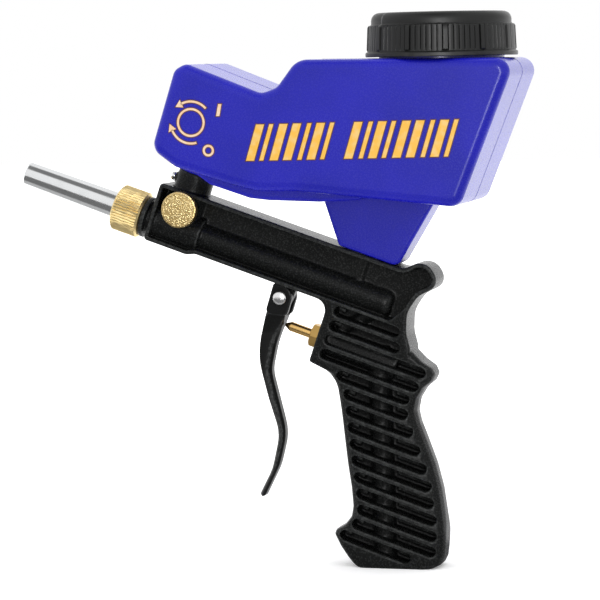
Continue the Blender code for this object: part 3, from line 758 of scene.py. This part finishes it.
def cast_body():
    bm = bmesh.new()
    bm.from_mesh(nodes["gun_body"].data)
    walls = BVHTree.FromBMesh(bm)
    steps = slot_steps(bm, walls)
    turn = ALONG.to_track_quat("Z", "Y").to_matrix().to_4x4()
    bmesh.ops.create_cone(
        bm, cap_ends=True, segments=64, radius1=COLLAR_R * MM, radius2=COLLAR_R * MM,
        depth=COLLAR_LENGTH * MM,
        matrix=Matrix.Translation(place(COLLAR_START + COLLAR_LENGTH / 2, 0)) @ turn,
    )
    print(steps, "steps in the slots")
    return soften(made_of(bm, "cast_body"), voxel=0.55, rounds=8, keep=0.21)


stand_in(cast_body(), "gun", "gun_body", CAST_BLACK)

# %% [markdown]
# ## The hopper
# The hopper is blow-moulded: a hot plastic tube is blown out against a mould, so every edge has a generous
# radius and a fine seam runs round the middle where the mould's halves met. It is built from its outline
# as an outer solid, joined with the keel, the foot and the spout, and hollowed by the same outline moved
# inwards by the wall. Edges rounded in many small steps stay smooth in the gloss.

# %% Hopper outlines
HALF_HOPPER, SHELL, HALF_KEEL, HALF_FOOT = 43.0, 2.2, 26.0, 12.5
EDGE_HOPPER, EDGE_SMALL = 5.5, 2.4
TOP_EDGE, SOCKET_TOP, GAP = 23.6, 34.4, 0.3
SPOUT_R, SPOUT_BORE_R, FLANGE_R = 8.0, 6.0, 11.6
NECK_X, NECK_R, NECK_BORE_R, NECK_TOP = 103.9, 36.8, 33.5, 309.0
HOPPER = (
    (-36.2, 292.0, 6), (-43.0, 288.5, 6.5), (-57.6, 243.6, 8), (-43.8, 233.4, 6), (-9.4, 222.6, 8),
    (4.8, 219.2, 12), (29.0, 218.9, 12), (121.0, 209.4, 8), (154.0, 291.9, 8), (29.0, 293.0, 12),
    (17.0, 277.5, 9), (7.8, 274.4, 8),
)
KEEL = (
    (-41.6, 232.4, 3), (-27.4, 222.4, 3), (-4.2, 214.6, 6), (7.0, 213.3, 8), (36.6, 212.2, 3),
    (62.0, 213.2, 3), (62.0, 225.0, 3), (-20.0, 234.0, 3),
)
FOOT = (
    (33.0, 222.0, 0), flat(112.2, TOP_EDGE + GAP, 3), flat(148.6, TOP_EDGE + GAP, 5), (107.7, 222.0, 0),
)
print("hopper outline of", len(rounded(HOPPER)), "points")

# %% The hopper
def level_normals(obj):
    """Makes the large flat faces shade flat, so that only the round edges bend the light."""
    weigh = obj.modifiers.new("level", "WEIGHTED_NORMAL")
    weigh.keep_sharp = True
    return settle(obj)


def drum(name, at, axis, length, radius, steps=64):
    return turned(name, ((0, 0), (0, radius), (length, radius), (length, 0)), at, axis, steps)


def neck():
    """The neck with its thread, three turns drawn as three rings."""
    root = NECK_R - 1.2
    profile = [(288.0, 0), (288.0, root)]
    for turn in range(3):
        low = 297.0 + 3.6 * turn
        profile += [(low, root), (low + 0.7, NECK_R), (low + 1.5, NECK_R), (low + 2.2, root)]
    profile += [(NECK_TOP - 0.8, root), (NECK_TOP, root - 0.8), (NECK_TOP, 0)]
    return turned("neck", profile, Vector((NECK_X * MM, 0, 0)), UP, 96)


def hopper_shell():
    low = SOCKET_TOP + GAP
    flange = ((low, 0), (low, FLANGE_R - 0.6), (low + 0.6, FLANGE_R), (low + 12, FLANGE_R), (low + 12, 0))
    shell = plate("hopper_shell", HOPPER, HALF_HOPPER, 0, EDGE_HOPPER, 8)
    combine(shell, "UNION", [
        plate("keel", KEEL, HALF_KEEL, 0, EDGE_SMALL),
        plate("foot", FOOT, HALF_FOOT, 0, EDGE_SMALL),
        turned("flange", flange, place(DISC_S, 0), ACROSS),
        drum("spout", place(DISC_S, 22), ACROSS, 24, SPOUT_R),
        neck(),
    ])
    combine(shell, "DIFFERENCE", [
        plate("cavity", HOPPER, HALF_HOPPER - SHELL, SHELL, EDGE_HOPPER - SHELL, 4),
        plate("keel_cavity", KEEL, HALF_KEEL - SHELL, SHELL, 0.7, 2),
        plate("foot_cavity", FOOT, HALF_FOOT - SHELL, SHELL),
        drum("spout_way", place(DISC_S, 20), ACROSS, 34, SPOUT_BORE_R),
        drum("neck_way", Vector((NECK_X, 0, 280)) * MM, UP, 34, NECK_BORE_R, 96),
        drum("dowel_way", place(128, 18), ACROSS, 9, 2.1, 24),
    ])
    return level_normals(smooth(shell, 28))


stand_in(hopper_shell(), "gun", "hopper", HOPPER_BLUE)

# %% [markdown]
# ## The mould seam
# Where the two halves of the mould met, the plastic stands a fraction of a millimetre proud and catches the
# light, all round the middle of the hopper and down its foot. It is a thin band that follows the outline,
# with its inner side buried in the wall.

# %% The mould seam
SEAM_PROUD, SEAM_DEPTH, SEAM_HALF = 0.12, 0.5, 0.3


def seam(name, corners, skip=None):
    """A band on the outline's edge. skip(x, z) leaves out the stretch that other pieces cover."""
    outer, inner = rounded(corners, -SEAM_PROUD), rounded(corners, SEAM_DEPTH)
    half = SEAM_HALF
    bm = bmesh.new()
    rings = [
        [bm.verts.new((x * MM, y * MM, z * MM)) for x, z in line]
        for line, y in ((inner, -half), (outer, -half * 0.5), (outer, half * 0.5), (inner, half))
    ]
    for first, second in zip(rings, rings[1:]):
        for i, spot in enumerate(outer):
            j = (i + 1) % len(outer)
            if not (skip and (skip(*spot) or skip(*outer[j]))):
                bm.faces.new((first[i], first[j], second[j], second[i]))
    return smooth(made_of(bm, name))


def keep_with(piece, body, finish):
    """A small extra that rides on a body without standing for any part."""
    piece.data.materials.append(finish)
    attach(piece, body)
    print(piece.name, "has", len(piece.data.polygons), "faces")
    return piece


def off_foot_rear(x, z):
    """True inside the hopper and on the front of the foot, where no seam shows."""
    return z > 221 or x < 60


keep_with(seam("hopper_seam", HOPPER), "gun", HOPPER_BLUE)
keep_with(seam("foot_seam", FOOT, off_foot_rear), "gun", HOPPER_BLUE)

# %% [markdown]
# ## The print on the hopper
# The near side carries a gold print: a ring between two bent arrows, which says that the disc below turns,
# and a bar and a small ring, the usual signs for open and shut. A row of slanted bars takes the place of
# lettering. Each mark is a thin raised shape, with the same shape in dark red, a little larger and lower,
# as its edge.

# %% Drawing the marks
PRINT_RISE, EDGE_RISE, EDGE_GROW = 0.12, 0.07, 0.55
RING_CENTRE = (-32.6, 258.6)
RING_R, ARROW_R, STROKE, HEAD = 7.6, 11.9, 1.25, 2.4
LEAN = 0.31


def arc(centre, radius, start, end, stroke, grow=0.0):
    """A band along a circle from start to end degrees, as a row of small quadrilaterals."""
    spread = 0 if abs(end - start) >= 360 else math.degrees(grow / radius)
    start, end = min(start, end) - spread, max(start, end) + spread
    steps = max(8, int((end - start) / 5))
    angles = [math.radians(start + (end - start) * step / steps) for step in range(steps + 1)]
    out, back = radius + stroke / 2 + grow, radius - stroke / 2 - grow

    def point(reach, angle):
        return centre[0] + reach * math.cos(angle), centre[1] + reach * math.sin(angle)

    return [
        [point(out, a), point(out, b), point(back, b), point(back, a)] for a, b in zip(angles, angles[1:])
    ]


def arrow_head(centre, radius, at, way, grow=0.0):
    """A triangle on the circle at an angle, pointing the way it turns (1 is anticlockwise)."""
    angle = math.radians(at)
    out = Vector((math.cos(angle), math.sin(angle)))
    along = Vector((-out.y, out.x)) * way
    middle = Vector(centre) + out * radius
    size = HEAD + grow
    return [[tuple(middle - out * size - along * grow), tuple(middle + out * size - along * grow),
             tuple(middle + along * (1.7 * size))]]


def bar(low_left, width, height, lean, grow=0.0):
    """A bar that leans to the right by a share of its height."""
    x, z = low_left
    x, z, width, height = x - grow * (1 + lean), z - grow, width + 2 * grow, height + 2 * grow
    top, shift = z + height, lean * height
    return [[(x, z), (x + width, z), (x + width + shift, top), (x + shift, top)]]


def printed(name, shapes, finish, rise):
    """Marks on the near side of the hopper, which stand rise mm proud of it."""
    bm = bmesh.new()
    for corners in shapes:
        low = [bm.verts.new((x * MM, -HALF_HOPPER * MM, z * MM)) for x, z in corners]
        top = [bm.verts.new((x * MM, -(HALF_HOPPER + rise) * MM, z * MM)) for x, z in corners]
        bm.faces.new(top)
        bridge(bm, (low, top))
    bmesh.ops.remove_doubles(bm, verts=bm.verts, dist=1e-7)
    bmesh.ops.recalc_face_normals(bm, faces=bm.faces)
    return keep_with(made_of(bm, name), "gun", finish)


print("ready to print")

# %% The print
BARS_X, BARS_Z, BAR_HEIGHT, BARS_END, BARS_GAP = -0.6, 236.6, 20.4, 117.0, 7
BARS_CLIMB = 0.012
BAR_STEPS = ((4.8, 3.0), (2.4, 3.6), (4.8, 3.0), (4.8, 3.6), (2.4, 3.0))


def turn_sign(grow=0.0):
    return [
        *arc(RING_CENTRE, RING_R, 0, 360, STROKE, grow),
        *arc(RING_CENTRE, ARROW_R, 41, 118, STROKE, grow), *arrow_head(RING_CENTRE, ARROW_R, 116, 1, grow),
        *arc(RING_CENTRE, ARROW_R, 200, 285, STROKE, grow), *arrow_head(RING_CENTRE, ARROW_R, 202, -1, grow),
        *bar((-17.6, 262.0), 2.0, 6.8, 0.2, grow), *arc((-22.6, 242.6), 2.7, 0, 360, 1.3, grow),
    ]


def bar_row(grow=0.0):
    shapes, x, number = [], BARS_X, 0
    while x < BARS_END:
        width, space = BAR_STEPS[number % len(BAR_STEPS)]
        rise = (x - BARS_X) * BARS_CLIMB
        if number != BARS_GAP:
            shapes += bar((x, BARS_Z + rise), width, BAR_HEIGHT, LEAN, grow)
        x, number = x + width + space, number + 1
    return shapes


printed("turn_sign", turn_sign(), PALE_INK, PRINT_RISE)
printed("turn_sign_edge", turn_sign(EDGE_GROW), RED_INK, EDGE_RISE)
printed("bar_row", bar_row(), GOLD_INK, PRINT_RISE)
printed("bar_row_edge", bar_row(EDGE_GROW), RED_INK, EDGE_RISE)

# %% [markdown]
# ## The screw cap
# The cap is a shallow cup with a plain band at the top, a flange at the foot, and ribs between them for the
# fingers, with a broader one every thirty degrees. Only the radius changes round the cap, so the ribs are
# cut by `turned` itself: a function of the angle pushes the points of the middle rows in or out.

# %% The screw cap
CAP_FOOT, CAP_TOP, CAP_INSIDE, CAP_BORE_R = 293.4, 318.3, 313.0, 37.6
FLANGE_TOP, RIBS_LOW, RIBS_HIGH = 296.0, 296.4, 311.0
CAP_FLANGE_R, RIB_LOW_R, RIB_HIGH_R, CAP_TOP_R = 43.3, 42.0, 41.3, 39.8
RIBS, RIB_POINTS, BROAD_EVERY, RIB_DEPTH, BROAD_PROUD = 84, 9, 7, 0.55, 0.6
RIB_PHASE, CAP_ROUND = math.radians(15), 4.6


def cap_rib(angle, along, radius):
    if not RIBS_LOW < along < RIBS_HIGH:
        return 0.0
    turn = (angle - RIB_PHASE) / math.tau * RIBS
    off_crest = abs(turn - round(turn))
    broad = round(turn) % BROAD_EVERY == 0
    end = min(along - RIBS_LOW, RIBS_HIGH - along, 1.0)
    if off_crest > 0.4:
        return -RIB_DEPTH * (1.5 if round(turn + 0.5) % BROAD_EVERY < 2 else 1.0) * end
    return BROAD_PROUD * end if broad else -0.25 * off_crest * end


def hopper_cap():
    ribs = [
        (RIBS_LOW + (RIBS_HIGH - RIBS_LOW) * part, RIB_LOW_R + (RIB_HIGH_R - RIB_LOW_R) * part)
        for part in (0, 0.03, 0.07, 0.25, 0.5, 0.75, 0.93, 0.97, 1)
    ]
    dome = round_off(CAP_TOP, CAP_TOP_R, CAP_ROUND, 6)
    profile = [
        (CAP_INSIDE, 0), (CAP_INSIDE, CAP_BORE_R), (CAP_FOOT, CAP_BORE_R), (CAP_FOOT, CAP_FLANGE_R - 0.4),
        (CAP_FOOT + 0.4, CAP_FLANGE_R), (FLANGE_TOP - 0.5, CAP_FLANGE_R), (FLANGE_TOP, CAP_FLANGE_R - 0.5),
        *ribs, (RIBS_HIGH + 0.3, CAP_TOP_R + 0.5), (RIBS_HIGH + 0.9, CAP_TOP_R), *dome,
        (CAP_TOP - 0.1, CAP_TOP_R - 9), (CAP_TOP - 0.8, CAP_TOP_R - 10), (CAP_TOP - 0.8, 0),
    ]
    return turned("screw_cap", profile, Vector((NECK_X * MM, 0, 0)), UP, RIBS * RIB_POINTS, cap_rib)


stand_in(hopper_cap(), "hopper_cap", "hopper_cap", CAP_BLACK)

# %% [markdown]
# ## Nozzle, nut and disc
# All three are lathe work. The knurl on the nut is pressed in by a toothed wheel, so its teeth are sharp,
# straight and never quite equal. The nozzle has a small rounded lip and a bore. The disc that turns the
# media valve is stippled all over, with a bright turned edge.

# %% Nozzle and nut
BOSS_R, BOSS_LENGTH, BORE_R = 9.4, 13.0, 6.4
NUT_FRONT, NUT_REAR, NUT_R = -23.7, -6.5, 13.7
NOZZLE_TIP, TIP_R, LIP_ROUND, ROOT_R, NOZZLE_BORE_R = -83.0, 7.4, 1.3, 8.2, 4.0
TEETH, TOOTH_POINTS, TOOTH_DEPTH = 50, 6, 0.75


def knurl(angle, along, radius):
    if radius < NUT_R - 0.05:
        return 0.0
    tooth = angle / math.tau * TEETH + 0.06 * math.sin(along * 0.9)
    uneven = 0.8 + 0.2 * math.sin(round(tooth) * 2.4 + along * 0.35)
    return -TOOTH_DEPTH * uneven * 2 * abs(tooth - round(tooth))


def nozzle_nut():
    step = -BOSS_LENGTH - 4.7
    length = NUT_REAR - NUT_FRONT - 2.2
    rows = [(NUT_REAR - 1.1 - length * row / 12, NUT_R) for row in range(13)]
    profile = [
        (NUT_REAR, BOSS_R + GAP), (NUT_REAR, NUT_R - 1.3), (NUT_REAR - 1.0, NUT_R - 0.35), *rows,
        (NUT_FRONT + 1.0, NUT_R - 0.35), (NUT_FRONT, NUT_R - 1.4), (NUT_FRONT, NUT_R - 3.4),
        (NUT_FRONT + 0.5, NUT_R - 3.9), (NUT_FRONT + 0.5, ROOT_R + GAP), (step, ROOT_R + GAP),
        (step, BOSS_R + GAP),
    ]
    return turned("knurled_nut", profile, place(0, 0), ALONG, TEETH * TOOTH_POINTS, knurl)


def nozzle_tube():
    flange = -BOSS_LENGTH - 1.8
    lip = round_off(NOZZLE_TIP, TIP_R, -LIP_ROUND, 5)
    profile = [
        (-3, NOZZLE_BORE_R), (-3, BORE_R - GAP), (flange, BORE_R - GAP), (flange, 9.2), (flange - 2.6, 9.2),
        (flange - 2.6, ROOT_R), *lip, (NOZZLE_TIP, NOZZLE_BORE_R + 0.4), (NOZZLE_TIP + 0.4, NOZZLE_BORE_R),
    ]
    return turned("nozzle", profile, place(0, 0), ALONG, 96)


stand_in(nozzle_nut(), "nozzle_nut", "nozzle_nut", KNURLED_BRASS)
stand_in(nozzle_tube(), "gun", "nozzle_tube", ZINC)

# %% The disc and its plug
PLUG_R, DISC_R, DISC_PROUD, HALF_BODY = 7.4, 10.5, 4.2, 12.5


def valve_disc():
    """Disc and plug in one piece, with the grooves of two seals and a clip, and the port cut through."""
    far = 2 * HALF_BODY + DISC_PROUD + 3.0
    grooves = []
    for start, end in ((22.5, 20.5), (4.0, 2.0)):
        grooves += [
            (DISC_PROUD + start, PLUG_R), (DISC_PROUD + start, PLUG_R - 1.3),
            (DISC_PROUD + end, PLUG_R - 1.3), (DISC_PROUD + end, PLUG_R),
        ]
    profile = [
        (far, 0), (far, PLUG_R - 1.6), (far - 0.8, PLUG_R - 1.0), (far - 1.0, PLUG_R - 1.9),
        (far - 2.2, PLUG_R - 1.9), (far - 2.4, PLUG_R), *grooves, (DISC_PROUD, PLUG_R),
        (DISC_PROUD, DISC_R - 0.3), (DISC_PROUD - 0.3, DISC_R), (0.7, DISC_R), (0.25, DISC_R - 0.2),
        (0.0, DISC_R - 0.7), (0.0, DISC_R - 1.3), (0.18, DISC_R - 1.6), (0.1, DISC_R - 4), (0.06, 0.9),
        (0.3, 0.5), (0.3, 0),
    ]
    plug = turned("disc_and_plug", profile, place(DISC_S, DISC_T, -HALF_BODY - 0.1 - DISC_PROUD), SIDE)
    port = drum("port", place(DISC_S, DISC_T - 12), ACROSS, 24, SPOUT_BORE_R - 1.2, 48)
    combine(plug, "DIFFERENCE", [port])
    return level_normals(smooth(plug))


stand_in(valve_disc(), "media_valve", "media_valve", DISC_BRASS)

# %% [markdown]
# ## The trigger
# The trigger is a casting too: a fork whose ears hold the pin, and a lever that curves down for two
# fingers. The lever isn't flat at its sides. Each side has a ridge that starts at the rear below the ear and
# drifts to the middle, with hollow flanks to both sides of it. So the blank is cut from an outline and
# remeshed, and then every point is moved towards the middle by how far it lies from the ridge.

# %% The trigger's blank
PIVOT_S, PIVOT_T, PIN_R = 87.8, -17.1, 2.4
HALF_LUG, HALF_LEVER, HALF_EAR, EAR_R = 3.4, 6.3, 7.4, 6.6
LEVER = (
    flat(PIVOT_S - 6.5, -10.0, 1.5), (0.2, 150.9, 12), (-5.6, 133.0, 40), (-7.0, 119.0, 40),
    (-1.5, 97.0, 40), (4.9, 76.4, 25), (0.2, 55.5, 30), (-7.6, 40.4, 1.0), (-5.4, 37.8, 1.6),
    (4.5, 57.4, 30), (9.4, 76.5, 30), (5.3, 93.6, 30), (0.6, 113.0, 20), (4.2, 129.2, 40),
    (8.8, 141.0, 20), (12.6, 151.5, 6), flat(PIVOT_S + EAR_R, -10.0, EAR_R),
)
EARS = (
    flat(PIVOT_S - 6.5, -10.0, 1.5), (-1.6, 146.6, 3), (11.4, 145.0, 3), flat(PIVOT_S + EAR_R, -10.0, EAR_R)
)
FORK = (
    flat(PIVOT_S - 11, PIVOT_T - 9.0, 1), flat(PIVOT_S + 14, PIVOT_T - 9.0, 1),
    flat(PIVOT_S + 14, 5, 0), flat(PIVOT_S - 11, 5, 0),
)


def trigger_blank():
    blank = plate("cast_trigger", LEVER, HALF_LEVER, 0, 0.8, 3)
    combine(blank, "UNION", [plate("ears", EARS, HALF_EAR, 0, 0.6, 3)])
    combine(blank, "DIFFERENCE", [
        plate("fork", FORK, HALF_LUG + GAP),
        drum("hole", place(PIVOT_S, PIVOT_T, -9), SIDE, 18, PIN_R + GAP, 48),
    ])
    return soften(blank, voxel=0.42, rounds=2, keep=0.5)


trigger = trigger_blank()
print("blank", len(trigger.data.vertices), "points")

# %% Ridge and flanks
RIDGE_FULL, RIDGE_START, FLANK_DEPTH = 136.0, 145.0, 0.5
RIDGE_PATH = ((145.0, 0.95), (128.0, 0.55), (112.0, 0.25), (95.0, 0.1), (40.0, 0.0))


def level_span(outline, z):
    """The lowest and highest x at which the outline crosses the height z."""
    cuts = []
    for (x0, z0), (x1, z1) in zip(outline, [*outline[1:], outline[0]]):
        if (z0 > z) != (z1 > z):
            cuts.append(x0 + (x1 - x0) * (z - z0) / (z1 - z0))
    return (min(cuts), max(cuts)) if cuts else None


def along_path(path, z):
    for (z0, value0), (z1, value1) in zip(path, path[1:]):
        if z1 <= z <= z0:
            return value1 + (value0 - value1) * (z - z1) / (z0 - z1)
    return path[0][1] if z > path[0][0] else path[-1][1]


def shape_flanks(obj):
    outline = [tuple(point) for point in rounded(LEVER)]
    for vertex in obj.data.vertices:
        x, z = vertex.co.x / MM, vertex.co.z / MM
        span = level_span(outline, z) if z < RIDGE_START else None
        if not span:
            continue
        middle, half = (span[0] + span[1]) / 2, max((span[1] - span[0]) / 2, 0.5)
        ridge = along_path(RIDGE_PATH, z)
        off = (x - middle) / half - ridge
        flank = min(abs(off) / (1 + (ridge if off < 0 else -ridge)), 1.0)
        fade = min((RIDGE_START - z) / (RIDGE_START - RIDGE_FULL), 1.0)
        vertex.co.y *= 1 - FLANK_DEPTH * fade * flank ** 0.75
    return obj


stand_in(shape_flanks(trigger), "trigger", "trigger", TRIGGER_BLACK)

# %% [markdown]
# ## Pin, stem, gland and screw
# The small fittings sit close to the eye, so they get real chamfers. The trigger turns on a rivet with a
# domed head and a faint ring where it was set. The stem's tip is a small cone. Its gland
# is a hexagon whose corners are turned off at both ends, which is simply a hexagon and a lathe shape
# meeting: what both of them hold is what stays.

# %% Pin and screw
GRIP_LENGTH = 2 * (HALF_EAR + GAP)


def rivet():
    dome = [
        (-0.2 - 1.8 * math.sin(math.radians(bend)), 4.1 * math.cos(math.radians(bend)))
        for bend in (0, 10, 20, 30, 40, 50, 60, 70, 80)
    ]
    profile = [
        (GRIP_LENGTH + 1.1, 0), (GRIP_LENGTH + 1.1, 2.9), (GRIP_LENGTH + 0.8, 3.2), (GRIP_LENGTH, 3.4),
        (GRIP_LENGTH, PIN_R), (0, PIN_R), (0, 4.0), *dome, (-2.0, 0),
    ]
    return turned("trigger_rivet", profile, place(PIVOT_S, PIVOT_T, -HALF_EAR - GAP), SIDE, 64)


def clamp_screw():
    """A pan-head screw with its slot."""
    shank, head, height = 1.7, 2.6, 2.2
    start = place(DISC_S - 12.5, 28.4)
    profile = [
        (3.4, 0), (3.4, shank - 0.3), (3.1, shank), (0, shank), (0, head - 0.1), (-0.1, head),
        (-height * 0.55, head), (-height * 0.8, head * 0.88), (-height * 0.96, head * 0.62),
        (-height, head * 0.3), (-height, 0),
    ]
    screw = turned("clamp_screw", profile, start, ALONG, 48)
    slot = bmesh.new()
    turn = Matrix((ALONG, SIDE, ACROSS)).transposed().to_4x4()
    size = Matrix.Diagonal((2.0 * MM, 8 * MM, 0.8 * MM, 1))
    crown = Matrix.Translation(start - ALONG * height * MM)
    bmesh.ops.create_cube(slot, size=1.0, matrix=crown @ turn @ size)
    return smooth(combine(screw, "DIFFERENCE", [made_of(slot, "slot")]))


stand_in(rivet(), "gun", "trigger_pin", RIVET_STEEL)
stand_in(clamp_screw(), "gun", "spout_clamp_screw", ZINC)

# %% Stem and gland
STEM_T, STEM_R, STEM_TIP, GLAND_FRONT, HEX_R = -31.8, 2.85, 94.0, 110.9, 7.4
BLOCK_FACE, SEAT, POPPET_END, CHAMBER_BORE_R = 116.5, 133.0, 139.0, 6.0


def valve_stem():
    profile = [
        (POPPET_END, 0), (POPPET_END, 4.4), (POPPET_END - 0.2, 4.6), (SEAT + 2.2, 4.6), (SEAT + 2.2, 1.9),
        (BLOCK_FACE + 5, 1.9), (BLOCK_FACE + 5, STEM_R), (STEM_TIP + 4.0, STEM_R),
        (STEM_TIP + 3.5, STEM_R - 0.1), (STEM_TIP + 0.7, 1.15), (STEM_TIP + 0.2, 0.75),
        (STEM_TIP, 0.4), (STEM_TIP, 0),
    ]
    return turned("push_stem", profile, place(0, STEM_T), ALONG, 48)


def gland():
    collar, bore = CHAMBER_BORE_R - GAP, STEM_R + GAP
    body = turned(
        "hex_gland",
        ((SEAT, 2.9), (SEAT, collar), (128, collar), (128, 4.4), (124, 4.4), (124, collar),
         (BLOCK_FACE - GAP, collar), (BLOCK_FACE - GAP, 5.5), (GLAND_FRONT + 2, 5.5),
         (GLAND_FRONT + 2, bore), (120, bore), (120, 2.9)),
        place(0, STEM_T), ALONG, 48,
    )
    rear, cut = BLOCK_FACE - GAP, HEX_R * math.cos(math.pi / 6)
    hexagon = drum("hexagon", place(GLAND_FRONT, STEM_T), ALONG, rear - GLAND_FRONT, HEX_R, 6)
    combine(hexagon, "INTERSECT", [turned(
        "corners",
        ((GLAND_FRONT, 0), (GLAND_FRONT, cut - 0.2), (GLAND_FRONT + 0.9, HEX_R + 0.2),
         (rear - 0.9, HEX_R + 0.2), (rear, cut), (rear, 0)),
        place(0, STEM_T), ALONG, 96,
    )])
    combine(hexagon, "DIFFERENCE", [drum("way", place(GLAND_FRONT - 1, STEM_T), ALONG, 9, bore, 48)])
    return smooth(combine(body, "UNION", [hexagon]))


stand_in(valve_stem(), "valve_stem", "valve_stem", TURNED_BRASS)
stand_in(gland(), "gun", "gland_nut", GLAND_BRASS)

# %% [markdown]
# ## The valve spring
# The spring sits behind the stem's poppet and closes the valve again. It is drawn as a wire wound on a
# helix. When the trigger pushes the stem in, the spring gets shorter; here it is drawn at its resting
# length and rides on the gun's body.

# %% The valve spring
COILS, TURN_STEPS, COIL_R, WIRE_R, WIRE_SIDES = 5, 30, 3.9, 0.55, 10
SPRING_START, SPRING_END = POPPET_END + 0.5, 159.6


def coil_spring():
    run = SPRING_END - SPRING_START - 2 * WIRE_R
    total = COILS * TURN_STEPS
    bm = bmesh.new()
    rings = []
    for step in range(total + 1):
        angle = math.tau * step / TURN_STEPS
        outward = ACROSS * math.cos(angle) + SIDE * math.sin(angle)
        onward = SIDE * math.cos(angle) - ACROSS * math.sin(angle)
        tangent = (onward * math.tau * COIL_R + ALONG * run / COILS).normalized()
        upward = tangent.cross(outward)
        middle = place(SPRING_START + WIRE_R + run * step / total, STEM_T) + outward * COIL_R * MM
        ring = []
        for side in range(WIRE_SIDES):
            bend = math.tau * side / WIRE_SIDES
            arm = outward * math.cos(bend) + upward * math.sin(bend)
            ring.append(bm.verts.new(middle + arm * WIRE_R * MM))
        rings.append(ring)
    bridge(bm, rings)
    bm.faces.new(rings[0][::-1])
    bm.faces.new(rings[-1])
    bmesh.ops.recalc_face_normals(bm, faces=bm.faces)
    return smooth(made_of(bm, "coil_spring"), 50)


spring = stand_in(coil_spring(), "gun", "valve_spring", SPRING_STEEL)
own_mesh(spring)
